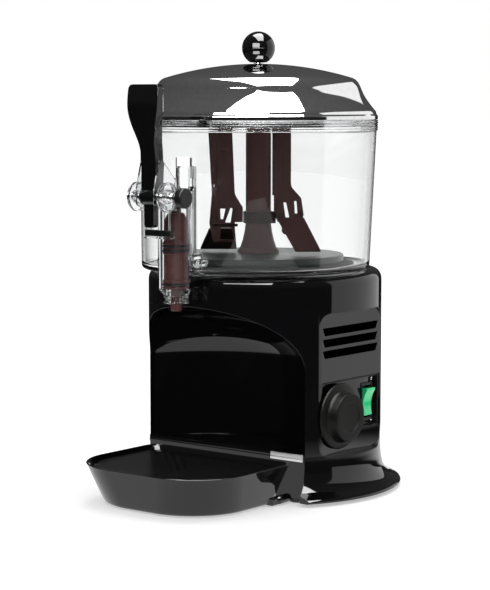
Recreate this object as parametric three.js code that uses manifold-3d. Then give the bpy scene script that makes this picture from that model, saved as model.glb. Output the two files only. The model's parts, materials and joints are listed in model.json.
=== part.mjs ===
// A five-litre heated drinks and sauce dispenser for a counter: a round casing with a cup bay,
// a clear bowl with its stirrer, a domed lid, a self-closing piston tap and a drip tray.
// Millimetres, +Z up. The working frame has the bowl's axis at X = Y = 0, the front at -Y
// and the counter at Z = 0. The last lines move the whole group so that its origin is the
// middle of its footprint.
import * as THREE from 'three';
import { mergeVertices } from 'three/addons/utils/BufferGeometryUtils.js';
import Module from 'manifold-3d';

const wasm = await Module();
wasm.setup();

// ---------------------------------------------------------------- driving dimensions
const GAP = 0.3;                 // between pieces that touch
const WALL = 3;                  // moulded casing wall
const TURN = 2 * Math.PI;

// casing
const BODY_Y = 11.35;            // the casing stands a little behind the bowl's axis
const BODY_R = 120;
const FLARE_R = 141.4;
// the flared foot, as [outward from the wall, height], from the counter up
const FLARE = [[21.4, 5], [19.9, 6.6], [14.6, 9.3], [8.4, 13], [3.1, 19.5], [1, 30], [0, 40]];
const BASE_PLATE_R = 131;
const SHOULDER_Z = 212;          // where the straight wall starts to round over
const DECK_Z = 224.5;            // top of the casing, under the bowl
const FOOT_H = 3;
const DECK_HOLE_R = 84;

// cup bay: an upright round niche with a domed ceiling
const BAY_Y = -96;
const BAY_R = 108.5;
const BAY_SPRING_Z = 131;        // where the dome starts
const BAY_DOME_H = 62;
const SHELF_Z = 46;
const SHELF_FRONT = -55;
const BASE_FRONT = -69;

// side flat with the vents and the controls
const FLAT_X = 108;
const FLAT_Y = [-41, 64];
const FLAT_Z = [43, 187];
const FLAT_CORNER = 15;
const VENT_Y = [-36, 59.5];
const VENT_TOPS = [172.4, 161.1, 149.8];
const VENT_H = 8;
const VENT_SLANT = 3.5;
const TUB_Y = [-35, 60.5];
const TUB_Z = [65.5, 116];
const TUB_DEPTH = 6;
const TUB_WALL = 1.6;
const DIAL_Y = -9.5;
const DIAL_Z = 82.6;
const DIAL_SKIRT_R = 33.4;
const DIAL_GRIP_R = 24.3;
const DIAL_FACE_X = 124;
const SWITCH_Y = 46.5;
const SWITCH_Z = 90;
const SWITCH_W = 20;
const SWITCH_H = 39;

// bowl
const BOWL_BOTTOM = 225;
const BOWL_R = 116.4;            // at the rounded foot
const BOWL_TOP_R = 120.4;
const RIM_R = 121.7;
const RIM_Z = [365, 375.6];
const BOWL_WALL = 3.2;
const BOWL_LEAN = 0.0336;        // the bowl leans forward going down, so its front is upright
const BOWL_HOLE_R = 95;
const FLOOR_T = 4;

// heating plate, water bath and drive
const PLATE_R = 87.5;
const PLATE_TOP = 239.4;
const PLATE_T = 2.5;
const TANK_R = 80;
const TANK_Z = [198.5, 223.5];
const POST_R = 10.4;
const POST_TOP = 296;
const SHAFT_R = 5;
const GEAR_MODULE = 1.5;
const GEAR_TEETH = 36;
const PINION_TEETH = 10;
const PINION_Y = GEAR_MODULE * (GEAR_TEETH + PINION_TEETH) / 2;
const GEAR_Z = [187.5, 193.5];
const CASE_Z = [185, 194.5];
const MOTOR_R = 18;
const MOTOR_Z = [122, 184.6];

// stirrer, parked with its blades turned this far from the casing's width
const STIRRER_PARK = 37.86 * Math.PI / 180;
const STIRRER_R = 13;
const STIRRER_BORE = 11;
const STIRRER_Z = [240.2, 380];
const BLADE_T = 3;

// lid
const LID_BOTTOM = 376;
const LID_TOP = 432.3;
const LID_WALL = 1.8;
const LID_SHOULDER = [95, 418];
const KNOB_R = 16.8;
const KNOB_Z = 448.2;
const KNOB_FLAT_Z = 433.2;

// tap
const TAP_Y = -130.6;
const VALVE_R = 17.7;
const VALVE_BORE = 13.5;
const VALVE_Z = [209.4, 308.8];
const VENT_PIPE_Y = -114.3;
const VENT_PIPE_R = 10.2;
const VENT_PIPE_TOP = 331.7;
const NOZZLE_Z = [198.5, 206.2];
const NOZZLE_R = 13.1;
const PISTON_NOSE_Z = 190.6;
const PISTON_TOP = 286;
const PISTON_R = 12.9;
const AXLE_Y = -166;
const AXLE_Z = 303.5;
const AXLE_R = 3;
const LEVER_REACH = TAP_Y - AXLE_Y;
const CHEEK_X = [10.2, 12.4];

// drip tray
const TRAY_RIM_Z = 40.2;
const TRAY_HALF_W = 91.6;
const TRAY_FRONT = -199.4;
const TRAY_BACK = -58;
const TRAY_CORNER = 60;
const TRAY_BACK_CORNER = 14;
const TRAY_INSET = 12.5;         // how far the walls lean in towards the bottom
const TRAY_BOTTOM = 1;
const TRAY_WALL = 2.2;
const TRAY_FOOT_AT = [84.5, -69, 5.2];
const TRAY_FOOT_R = 4.6;
const TRAY_FOOT_BLOCK = [10, 16, 7.2];
const GRID_TOP = 35.5;
const GRID_T = 2;

// ---------------------------------------------------------------- finishes
function finish(color, roughness, metalness = 0, opacity = 1) {
  return new THREE.MeshStandardMaterial({
    color, roughness, metalness, opacity, transparent: opacity < 1,
  });
}
const blackGloss = finish(0x0b0b0c, 0.12);
const blackSatin = finish(0x141414, 0.4);
const clear = finish(0xf2f5f5, 0.05, 0, 0.3);
const brown = finish(0x3f2b2a, 0.35);
const darkBrown = finish(0x1f1313, 0.4);
const chrome = finish(0xc8c8c8, 0.08, 1);
const steel = finish(0x9a9d9d, 0.3, 1);
const plateSteel = finish(0x4c5250, 0.35, 1);
const zinc = finish(0x8d9296, 0.45, 1);
const rubber = finish(0x1a1a1a, 0.8);
const green = finish(0x14c86e, 0.35);
const acetal = finish(0xe3e0d6, 0.5);
const copper = finish(0x9a5a34, 0.4, 1);

// ---------------------------------------------------------------- solids
function signedVolume(position, index) {
  const corner = [new THREE.Vector3(), new THREE.Vector3(), new THREE.Vector3()];
  let volume = 0;
  for (let i = 0; i < index.length; i += 3) {
    corner.forEach((v, k) => v.fromArray(position, 3 * index[i + k]));
    volume += corner[0].dot(corner[1].cross(corner[2])) / 6;
  }
  return volume;
}

// A closed geometry as a solid that can be joined and cut, with its faces pointing out.
function solid(geometry) {
  const bare = new THREE.BufferGeometry();
  bare.setAttribute('position', geometry.getAttribute('position'));
  if (geometry.index) bare.setIndex(geometry.index);
  const merged = mergeVertices(bare, 1e-4);
  const position = merged.getAttribute('position').array;
  const kept = [];
  const index = merged.index.array;
  for (let i = 0; i < index.length; i += 3) {
    const [a, b, c] = [index[i], index[i + 1], index[i + 2]];
    if (a !== b && b !== c && c !== a) kept.push(a, b, c);
  }
  if (signedVolume(position, kept) < 0) kept.reverse();
  return new wasm.Manifold(new wasm.Mesh({
    numProp: 3, vertProperties: new Float32Array(position), triVerts: new Uint32Array(kept),
  }));
}

function geometryOf(body) {
  const mesh = body.getMesh();
  const geometry = new THREE.BufferGeometry();
  geometry.setAttribute('position', new THREE.BufferAttribute(mesh.vertProperties, 3));
  geometry.setIndex(new THREE.BufferAttribute(mesh.triVerts, 1));
  geometry.computeVertexNormals();
  return geometry;
}

const union = (...bodies) => bodies.reduce((sum, body) => sum.add(body));
const cut = (body, ...tools) => tools.reduce((rest, tool) => rest.subtract(tool), body);

function add(parent, name, body, material, [x, y, z] = [0, 0, 0]) {
  const mesh = new THREE.Mesh(geometryOf(body), material);
  mesh.name = name;
  mesh.position.set(x, y, z);
  parent.add(mesh);
}

// An outline of [radius, height] pairs turned about +Z.
function turned(profile, segments = 48, [x, y, z] = [0, 0, 0]) {
  const points = [...profile, profile[0]].map(([r, h]) => new THREE.Vector2(r, h));
  const geometry = new THREE.LatheGeometry(points, segments).rotateX(Math.PI / 2);
  return solid(geometry.translate(x, y, z));
}

function disc(radius, [low, high], [x, y] = [0, 0], segments = 32) {
  const geometry = new THREE.CylinderGeometry(radius, radius, high - low, segments);
  return solid(geometry.rotateX(Math.PI / 2).translate(x, y, (low + high) / 2));
}

const ring = (outer, inner, span, at = [0, 0], segments = 32) => cut(
  disc(outer, span, at, segments),
  disc(inner, [span[0] - 1, span[1] + 1], at, segments),
);

// A round bar along +X.
function crossBar(radius, [left, right], [y, z] = [0, 0], segments = 20) {
  const geometry = new THREE.CylinderGeometry(radius, radius, right - left, segments);
  return solid(geometry.rotateZ(Math.PI / 2).translate((left + right) / 2, y, z));
}

// A round bar along +Y.
function depthBar(radius, [front, back], [x, z] = [0, 0], segments = 20) {
  const geometry = new THREE.CylinderGeometry(radius, radius, back - front, segments);
  return solid(geometry.translate(x, (front + back) / 2, z));
}

function block([x0, x1], [y0, y1], [z0, z1]) {
  const geometry = new THREE.BoxGeometry(x1 - x0, y1 - y0, z1 - z0);
  return solid(geometry.translate((x0 + x1) / 2, (y0 + y1) / 2, (z0 + z1) / 2));
}

const shapeOf = (points) => new THREE.Shape(points.map(([x, y]) => new THREE.Vector2(x, y)));

// A flat outline in X and Y raised along +Z.
function raised(shape, [low, high], curveSegments = 8) {
  const geometry = new THREE.ExtrudeGeometry(shape, {
    depth: high - low, bevelEnabled: false, curveSegments,
  });
  return solid(geometry.translate(0, 0, low));
}

// An outline in Y and Z pushed along +X.
function sideways(shape, [left, right], curveSegments = 8) {
  const geometry = new THREE.ExtrudeGeometry(shape, {
    depth: right - left, bevelEnabled: false, curveSegments,
  });
  geometry.rotateZ(Math.PI / 2).rotateY(Math.PI / 2);
  return solid(geometry.translate(left, 0, 0));
}

// An outline in X and Z pushed along +Y.
function inDepth(shape, [front, back], curveSegments = 8) {
  const geometry = new THREE.ExtrudeGeometry(shape, {
    depth: back - front, bevelEnabled: false, curveSegments,
  });
  return solid(geometry.rotateX(Math.PI / 2).translate(0, back, 0));
}

function roundedRectangle([u0, u1], [v0, v1], r) {
  const shape = new THREE.Shape();
  shape.moveTo(u0 + r, v0);
  shape.lineTo(u1 - r, v0);
  shape.absarc(u1 - r, v0 + r, r, -Math.PI / 2, 0);
  shape.lineTo(u1, v1 - r);
  shape.absarc(u1 - r, v1 - r, r, 0, Math.PI / 2);
  shape.lineTo(u0 + r, v1);
  shape.absarc(u0 + r, v1 - r, r, Math.PI / 2, Math.PI);
  shape.lineTo(u0, v0 + r);
  shape.absarc(u0 + r, v0 + r, r, Math.PI, 1.5 * Math.PI);
  return shape;
}

// A solid skinned over level outlines with the same number of points.
function loft(levels) {
  const count = levels[0].points.length;
  const position = levels.flatMap(({ points, z }) => points.flatMap(([x, y]) => [x, y, z]));
  const index = [];
  for (let level = 0; level < levels.length - 1; level += 1) {
    for (let i = 0; i < count; i += 1) {
      const a = level * count + i;
      const b = level * count + (i + 1) % count;
      index.push(a, b, b + count, a, b + count, a + count);
    }
  }
  const flat = levels[0].points.map(([x, y]) => new THREE.Vector2(x, y));
  const top = (levels.length - 1) * count;
  for (const [a, b, c] of THREE.ShapeUtils.triangulateShape(flat, [])) {
    index.push(a, c, b, top + a, top + b, top + c);
  }
  const geometry = new THREE.BufferGeometry();
  geometry.setAttribute('position', new THREE.Float32BufferAttribute(position, 3));
  geometry.setIndex(index);
  return solid(geometry);
}

const dispenser = new THREE.Group();

// ---------------------------------------------------------------- casing
// The casing's outline, kept "inset" inside the outer skin.
function casingProfile(inset, bottom, top) {
  const wall = BODY_R - inset;
  const flare = FLARE.map(([out, height]) => [wall + out, height - inset]);
  const round = 12;
  const shoulder = [0, 30, 60, 90].map((degrees) => {
    const angle = degrees * Math.PI / 180;
    return [wall - round * (1 - Math.cos(angle)), top - round * (1 - Math.sin(angle))];
  });
  return [[0, bottom], [FLARE_R - inset - 1.6, bottom], ...flare, ...shoulder, [0, top]];
}

function bayNiche(grow, low) {
  const profile = [[0, low], [BAY_R + grow, low]];
  const steps = 6;
  for (let i = 0; i < steps; i += 1) {
    const angle = i / steps * Math.PI / 2;
    profile.push([
      (BAY_R + grow) * Math.cos(angle), BAY_SPRING_Z + (BAY_DOME_H + grow) * Math.sin(angle),
    ]);
  }
  profile.push([0, BAY_SPRING_Z + BAY_DOME_H + grow]);
  return turned(profile, 48, [0, BAY_Y, 0]);
}

const wide = [-200, 200];

function casingCuts(grow) {
  const shelfFront = SHELF_FRONT + grow;
  const trayMouth = disc(BAY_R + grow, [-5, SHELF_Z + 1], [0, BAY_Y], 48)
    .intersect(block(wide, [-260, shelfFront], [-6, SHELF_Z + 2]));
  const sideFlat = sideways(
    roundedRectangle(
      [FLAT_Y[0] - grow, FLAT_Y[1] + grow], [FLAT_Z[0] - grow, FLAT_Z[1] + grow],
      FLAT_CORNER + grow,
    ), [FLAT_X - grow, 150], 6,
  );
  return union(
    bayNiche(grow, SHELF_Z - grow),
    trayMouth,
    block(wide, [-260, BASE_FRONT + grow], [-6, SHELF_Z]),
    sideFlat,
  );
}

function ventSlot(topZ) {
  const bottomZ = topZ - VENT_H;
  return sideways(shapeOf([
    [VENT_Y[0], topZ], [VENT_Y[0] + VENT_SLANT, bottomZ],
    [VENT_Y[1] - VENT_SLANT, bottomZ], [VENT_Y[1], topZ],
  ]), [FLAT_X - 2 * WALL, FLAT_X + 1]);
}

function tubBox(grow, [x0, x1]) {
  return block(
    [x0, x1], [TUB_Y[0] - grow, TUB_Y[1] + grow], [TUB_Z[0] - grow, TUB_Z[1] + grow],
  );
}

const GLAND_X = 0;
const GLAND_Z = 64;
const GLAND_Y = BODY_Y + BODY_R;
const GLAND_R = 7;

function bodyShell() {
  const at = [0, BODY_Y, 0];
  const outer = cut(turned(casingProfile(0, FOOT_H, DECK_Z), 64, at), casingCuts(0));
  const hollow = cut(
    turned(casingProfile(WALL, FOOT_H - 2, DECK_Z - WALL), 48, at), casingCuts(WALL),
  );
  return cut(
    outer,
    hollow,
    disc(DECK_HOLE_R, [DECK_Z - 2 * WALL, DECK_Z + 1], [0, 0], 48),
    ...VENT_TOPS.map(ventSlot),
    tubBox(TUB_WALL + GAP, [FLAT_X - 2 * WALL, FLAT_X + 1]),
    depthBar(GLAND_R + GAP, [100, 160], [GLAND_X, GLAND_Z]),
  );
}
add(dispenser, 'body_shell', bodyShell(), blackGloss);

function basePlate() {
  const plate = disc(BASE_PLATE_R, [FOOT_H + GAP, FOOT_H + 3], [0, BODY_Y], 48);
  const slots = [-40, -24, -8, 8, 24, 40].map((x) => (
    block([x - 3, x + 3], [30, 90], [0, 10])
  ));
  return cut(plate, casingCuts(WALL + GAP), ...slots);
}
add(dispenser, 'base_plate', basePlate(), blackSatin);

const footPlaces = [[-88, -48], [88, -48], [-82, 100], [82, 100]];
footPlaces.forEach(([x, y], i) => {
  const foot = turned([[0, 0], [9, 0], [10, 1], [10, FOOT_H], [0, FOOT_H]], 24);
  add(dispenser, `foot_${i + 1}`, foot, rubber, [x, y, 0]);
});

// A polished strip along the shelf's front edge, which the tray's back slides under.
add(dispenser, 'shelf_strip', block(
  [-99, 99], [SHELF_FRONT - 2.2 - GAP, SHELF_FRONT - GAP], [TRAY_RIM_Z + 1, SHELF_Z + 2.6],
), chrome);

// ---------------------------------------------------------------- side controls
function controlTub() {
  const back = FLAT_X - TUB_DEPTH;
  const switchHole = block(
    [back - 5, back + 3],
    [SWITCH_Y - SWITCH_W / 2 + 2, SWITCH_Y + SWITCH_W / 2 - 2],
    [SWITCH_Z - SWITCH_H / 2 + 2, SWITCH_Z + SWITCH_H / 2 - 2],
  );
  return cut(
    tubBox(TUB_WALL, [back - TUB_WALL, FLAT_X - 0.6]),
    tubBox(0, [back, FLAT_X + 2]),
    crossBar(4, [back - 5, back + 3], [DIAL_Y, DIAL_Z]),
    switchHole,
  );
}
add(dispenser, 'control_tub', controlTub(), blackSatin);

const tubFace = FLAT_X - TUB_DEPTH;
const tubBack = tubFace - TUB_WALL;

add(dispenser, 'thermostat', union(
  crossBar(13, [84.5, tubBack - GAP], [DIAL_Y, DIAL_Z], 24),
  crossBar(3, [tubBack - 2, 118], [DIAL_Y, DIAL_Z], 12),
), zinc);

const dial = new THREE.Group();
dial.position.set(FLAT_X + 0.8, DIAL_Y, DIAL_Z);
dispenser.add(dial);
function dialKnob() {
  const face = DIAL_FACE_X - FLAT_X - 0.8;
  const skin = [
    [0, 0], [DIAL_SKIRT_R - 1.5, 0], [DIAL_SKIRT_R, 1.2], [DIAL_SKIRT_R - 0.5, 3],
    [DIAL_GRIP_R + 2.4, 4.6], [DIAL_GRIP_R + 0.8, 7], [DIAL_GRIP_R, face - 1.5],
    [DIAL_GRIP_R - 1.5, face], [0, face],
  ];
  const points = skin.map(([r, h]) => new THREE.Vector2(r, h));
  const blank = solid(new THREE.LatheGeometry(points, 32).rotateZ(-Math.PI / 2));
  return cut(blank, crossBar(3 + GAP, [-1, 10.5]));
}
add(dial, 'thermostat_dial', dialKnob(), blackSatin);

add(dispenser, 'switch_housing', cut(
  union(
    block([tubFace + GAP, tubFace + 2], [SWITCH_Y - SWITCH_W / 2, SWITCH_Y + SWITCH_W / 2],
      [SWITCH_Z - SWITCH_H / 2, SWITCH_Z + SWITCH_H / 2]),
    block([80, tubFace + 1], [SWITCH_Y - SWITCH_W / 2 + 2.3, SWITCH_Y + SWITCH_W / 2 - 2.3],
      [SWITCH_Z - SWITCH_H / 2 + 2.3, SWITCH_Z + SWITCH_H / 2 - 2.3]),
  ),
  block([90, tubFace + 5], [SWITCH_Y - 7.7, SWITCH_Y + 7.7], [SWITCH_Z - 16.4, SWITCH_Z + 16.4]),
), blackSatin);

const ROCKER_X = tubFace - 1;
function rocker() {
  const side = new THREE.Shape();
  side.moveTo(-14.3, -3.5);
  side.lineTo(14.3, -3.5);
  side.lineTo(14.3, 8.3);
  side.quadraticCurveTo(2, 0.5, -14.3, 4.6);
  side.closePath();
  const geometry = new THREE.ExtrudeGeometry(side, {
    depth: 14.6, bevelEnabled: false, curveSegments: 6,
  });
  geometry.rotateY(-Math.PI / 2).translate(7.3, 0, 0);
  geometry.rotateZ(-Math.PI / 2);
  return solid(geometry);
}
const rockerSeat = new THREE.Group();
rockerSeat.position.set(ROCKER_X, SWITCH_Y, SWITCH_Z);
dispenser.add(rockerSeat);
add(rockerSeat, 'switch_rocker', rocker(), green);

// The mains lead's gland low on the back; the lead itself isn't part of the model.
add(dispenser, 'cord_gland', cut(
  union(
    depthBar(GLAND_R, [GLAND_Y - 14, GLAND_Y + 2], [GLAND_X, GLAND_Z]),
    depthBar(GLAND_R + 3, [GLAND_Y + GAP, GLAND_Y + 7], [GLAND_X, GLAND_Z]),
  ),
  depthBar(3.4, [100, 140], [GLAND_X, GLAND_Z], 12),
), blackSatin);

// ---------------------------------------------------------------- heater
const SLEEVE_R = 13.5;
add(dispenser, 'heating_plate', turned([
  [POST_R + GAP, PLATE_TOP - PLATE_T], [PLATE_R - PLATE_T, PLATE_TOP - PLATE_T],
  [PLATE_R - PLATE_T, DECK_Z + GAP], [PLATE_R + 5.3, DECK_Z + GAP],
  [PLATE_R + 5.3, DECK_Z + GAP + 1.8], [PLATE_R, DECK_Z + GAP + 1.8],
  [PLATE_R, PLATE_TOP - 1.5], [PLATE_R - 1.5, PLATE_TOP], [POST_R + GAP, PLATE_TOP],
], 48), plateSteel);

add(dispenser, 'water_tank', turned([
  [SLEEVE_R - 1.6, TANK_Z[0]], [TANK_R, TANK_Z[0]], [TANK_R, TANK_Z[1]],
  [TANK_R - 2, TANK_Z[1]], [TANK_R - 2, TANK_Z[0] + 2], [SLEEVE_R, TANK_Z[0] + 2],
  [SLEEVE_R, TANK_Z[1]], [SLEEVE_R - 1.6, TANK_Z[1]],
], 32), steel);

// An open loop of tubular heater lying in the water bath.
function heatingElement() {
  const loop = new THREE.CatmullRomCurve3(Array.from({ length: 13 }, (_, i) => {
    const angle = Math.PI / 2 + (0.06 + 0.88 * i / 12) * TURN;
    return new THREE.Vector3(52 * Math.cos(angle), 52 * Math.sin(angle), 207);
  }));
  const section = new THREE.Shape().absarc(0, 0, 3.6, 0, TURN);
  return solid(new THREE.ExtrudeGeometry(section, {
    steps: 30, extrudePath: loop, curveSegments: 3,
  }));
}
add(dispenser, 'heating_element', heatingElement(), copper);

// ---------------------------------------------------------------- drive
function gearOutline(teeth, turnedBy) {
  const pitch = GEAR_MODULE * teeth / 2;
  const step = TURN / teeth;
  const corners = [
    [pitch - 1.15 * GEAR_MODULE, -0.29], [pitch + 0.75 * GEAR_MODULE, -0.12],
    [pitch + 0.75 * GEAR_MODULE, 0.12], [pitch - 1.15 * GEAR_MODULE, 0.29],
  ];
  const points = [];
  for (let tooth = 0; tooth < teeth; tooth += 1) {
    for (const [radius, offset] of corners) {
      const angle = (tooth + offset) * step + turnedBy;
      points.push([radius * Math.cos(angle), radius * Math.sin(angle)]);
    }
  }
  return shapeOf(points);
}

const shaftBottom = CASE_Z[0] + 0.4;
add(dispenser, 'output_gear', cut(
  union(
    raised(gearOutline(GEAR_TEETH, Math.PI / 2), GEAR_Z),
    disc(9, [GEAR_Z[0], GEAR_Z[1] + 0.5], [0, 0], 24),
  ),
  disc(SHAFT_R + GAP, [180, 200], [0, 0], 24),
), acetal);

add(dispenser, 'drive_shaft', disc(SHAFT_R, [shaftBottom, POST_TOP + 6], [0, 0], 24), steel);

const hexagon = (across, turnedBy = 0) => shapeOf(Array.from({ length: 6 }, (_, i) => {
  const angle = i * TURN / 6 + turnedBy;
  return [across / Math.sqrt(3) * Math.cos(angle), across / Math.sqrt(3) * Math.sin(angle)];
}));
add(dispenser, 'drive_dog', cut(
  raised(hexagon(14, STIRRER_PARK), [POST_TOP + 5, POST_TOP + 18]),
  disc(SHAFT_R + GAP, [POST_TOP, POST_TOP + 6 + GAP], [0, 0], 24),
), steel);

const pinionAngle = -Math.PI / 2 + Math.PI / PINION_TEETH;
add(dispenser, 'motor_pinion', union(
  raised(gearOutline(PINION_TEETH, pinionAngle), [GEAR_Z[0] - 0.3, GEAR_Z[1]]),
  disc(3, [MOTOR_Z[0] + 10, GEAR_Z[0]], [0, 0], 16),
  disc(11, [MOTOR_Z[0] + 14, MOTOR_Z[1] - 12], [0, 0], 20),
), steel, [0, PINION_Y, 0]);

function caseOutline(grow) {
  const gearR = GEAR_MODULE * GEAR_TEETH / 2 + 2 + grow;
  const motorR = MOTOR_R - 2 + grow;
  const shape = new THREE.Shape();
  const lean = Math.asin((gearR - motorR) / PINION_Y);
  shape.absarc(0, 0, gearR, Math.PI - lean, TURN + lean);
  shape.absarc(0, PINION_Y, motorR, lean, Math.PI - lean);
  return shape;
}
add(dispenser, 'gearbox_case', cut(
  raised(caseOutline(2), CASE_Z, 10),
  raised(caseOutline(0), [CASE_Z[0] + 1.8, CASE_Z[1] + 1], 10),
  disc(3.5, [180, 190], [0, PINION_Y], 16),
  disc(SHAFT_R + GAP, [CASE_Z[0] + 0.2, 190], [0, 0], 24),
), zinc);
add(dispenser, 'gearbox_cover', cut(
  raised(caseOutline(2), [CASE_Z[1] + GAP, CASE_Z[1] + 2], 10),
  disc(SHAFT_R + GAP, [190, 200], [0, 0], 24),
), zinc);

add(dispenser, 'motor_can', cut(
  disc(MOTOR_R, MOTOR_Z, [0, 0], 32),
  disc(12, [MOTOR_Z[0] + 12, MOTOR_Z[1] - 8], [0, 0], 24),
  disc(3.4, [MOTOR_Z[0] + 9, MOTOR_Z[1] + 1], [0, 0], 16),
  block([-4, 4], [10, 30], [MOTOR_Z[0] + 24, MOTOR_Z[0] + 32]),
), blackSatin, [0, PINION_Y, 0]);

add(dispenser, 'centre_post', cut(
  union(
    disc(POST_R, [CASE_Z[1] + 2 + GAP, POST_TOP], [0, 0], 32),
    disc(SLEEVE_R + 4, [CASE_Z[1] + 2 + GAP, TANK_Z[0] - GAP], [0, 0], 32),
  ),
  disc(SHAFT_R + 1.5, [190, POST_TOP + 1], [0, 0], 24),
), steel);
add(dispenser, 'shaft_seal', ring(
  POST_R, SHAFT_R + GAP, [POST_TOP + GAP, POST_TOP + 4.5], [0, 0], 24,
), rubber);

// ---------------------------------------------------------------- stirrer
const stirrer = new THREE.Group();
stirrer.rotation.z = STIRRER_PARK;
dispenser.add(stirrer);

function stirrerTube() {
  const [low, high] = STIRRER_Z;
  const skin = turned([
    [0, low], [22, low], [18.8, low + 5], [16.2, low + 12], [14.2, low + 21],
    [STIRRER_R - 0.2, low + 31], [STIRRER_R, high - 1], [STIRRER_R - 1, high], [0, high],
  ], 32);
  return cut(
    skin,
    disc(STIRRER_BORE, [low - 1, POST_TOP + 4.6], [0, 0], 24),
    raised(hexagon(14 + 2 * GAP), [POST_TOP, POST_TOP + 18 + GAP]),
    disc(STIRRER_BORE - 1, [POST_TOP + 24, high + 1], [0, 0], 24),
  );
}
add(stirrer, 'stirrer_tube', stirrerTube(), brown);

const COLLAR_Z = [271, 283.5];
add(stirrer, 'stirrer_collar', cut(
  union(
    disc(15.6, COLLAR_Z, [0, 0], 32),
    block([9, 18], [-9, -2], COLLAR_Z),
  ),
  disc(STIRRER_R + GAP, [250, 300], [0, 0], 32),
), darkBrown);

// Each blade is an upright plate with windows through it; its foot is a slanted paddle.
function blade(outline, windows) {
  const tools = windows.map((points) => inDepth(shapeOf(points), [-10, 10]));
  return cut(inDepth(shapeOf(outline), [-BLADE_T / 2, BLADE_T / 2]), ...tools);
}

const collarClear = disc(15.6 + GAP, [240, 300]);
const coneClear = disc(24, [240, 272]);

add(stirrer, 'blade_outer', cut(blade(
  [
    [-51.4, 372], [-26.9, 372], [-24, 301], [-14.5, 285], [-14.5, 262], [-25, 251.5],
    [-46.5, 250.5], [-50.2, 271], [-47.6, 301],
  ],
  [
    [[-28.4, 287], [-26.4, 286], [-28.4, 271.5], [-34, 271.5]],
    [[-39, 286], [-33.6, 286], [-36, 275], [-38.6, 275]],
    [[-38.5, 266], [-27, 266], [-25.6, 254], [-39.2, 254]],
  ],
), collarClear, coneClear), brown);

add(stirrer, 'blade_inner', cut(blade(
  [
    [14.2, 372], [33.4, 372], [33.4, 309], [44, 297], [46.6, 279], [36, 262], [26, 258],
    [14.2, 285],
  ],
  [
    [[25.6, 292.5], [28.4, 292.5], [31.8, 276.5], [28, 276.5]],
    [[36.6, 294], [39, 294], [40, 281], [37.4, 281]],
  ],
), collarClear, coneClear), brown);

// A slanted plate given by its four corners, thickened along its own normal.
function paddle(corners, thickness) {
  const [a, b, c] = corners.map((corner) => new THREE.Vector3(...corner));
  const normal = b.clone().sub(a).cross(c.clone().sub(a)).normalize().multiplyScalar(thickness);
  const front = corners.map((corner) => new THREE.Vector3(...corner));
  const back = front.map((corner) => corner.clone().add(normal));
  const position = [...front, ...back].flatMap((corner) => corner.toArray());
  const n = corners.length;
  const index = [];
  for (let i = 1; i < n - 1; i += 1) index.push(0, i + 1, i, n, n + i, n + i + 1);
  for (let i = 0; i < n; i += 1) {
    const next = (i + 1) % n;
    index.push(i, next, n + next, i, n + next, n + i);
  }
  const geometry = new THREE.BufferGeometry();
  geometry.setAttribute('position', new THREE.Float32BufferAttribute(position, 3));
  geometry.setIndex(index);
  return solid(geometry);
}

add(stirrer, 'paddle_outer', paddle([
  [-50.5, 2.2, 264], [-24, 2.2, 264], [-22.5, 26, 241.5], [-60.5, 26, 241.5],
], 2.6), darkBrown);

add(stirrer, 'paddle_inner', paddle([
  [18.5, -2.2, 276], [46.5, -2.2, 276], [63.5, -24, 242.5], [37.5, -24, 242.5],
], -2.6), brown);

add(stirrer, 'paddle_tie', inDepth(shapeOf([
  [-46.5, 270.5], [-20.8, 270.5], [-20.8, 267.5], [-46.5, 267.5],
]), [-BLADE_T / 2 - 2 - GAP, -BLADE_T / 2 - GAP]), darkBrown);

// ---------------------------------------------------------------- bowl and valve cylinder
function leaned(profile) {
  const points = [...profile, profile[0]].map(([r, h]) => new THREE.Vector2(r, h));
  const geometry = new THREE.LatheGeometry(points, 48).rotateX(Math.PI / 2);
  const shear = new THREE.Matrix4().set(
    1, 0, 0, 0,
    0, 1, BOWL_LEAN, -BOWL_LEAN * RIM_Z[0],
    0, 0, 1, 0,
    0, 0, 0, 1,
  );
  return solid(geometry.applyMatrix4(shear));
}

function bowlShell() {
  const round = [[-8.4, 0], [-2.8, 2.4], [0, 8.5]];
  const foot = round.map(([r, h]) => [BOWL_R + r, BOWL_BOTTOM + h]);
  const innerFoot = round.map(([r, h]) => [BOWL_R - BOWL_WALL + r, BOWL_BOTTOM + FLOOR_T + h]);
  return cut(
    leaned([
      [70, BOWL_BOTTOM], ...foot, [BOWL_TOP_R, RIM_Z[0]], [RIM_R, RIM_Z[0] + 1],
      [RIM_R, RIM_Z[0] + 3.6], [RIM_R - 1, RIM_Z[0] + 4.4], [RIM_R - 1, RIM_Z[0] + 6],
      [RIM_R, RIM_Z[0] + 6.8], [RIM_R, RIM_Z[1]],
      [BOWL_TOP_R - BOWL_WALL, RIM_Z[1]], ...innerFoot.reverse(), [70, BOWL_BOTTOM + FLOOR_T],
    ]),
    disc(BOWL_HOLE_R, [BOWL_BOTTOM - 1, BOWL_BOTTOM + FLOOR_T + 0.5], [0, 0], 48),
  );
}

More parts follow.
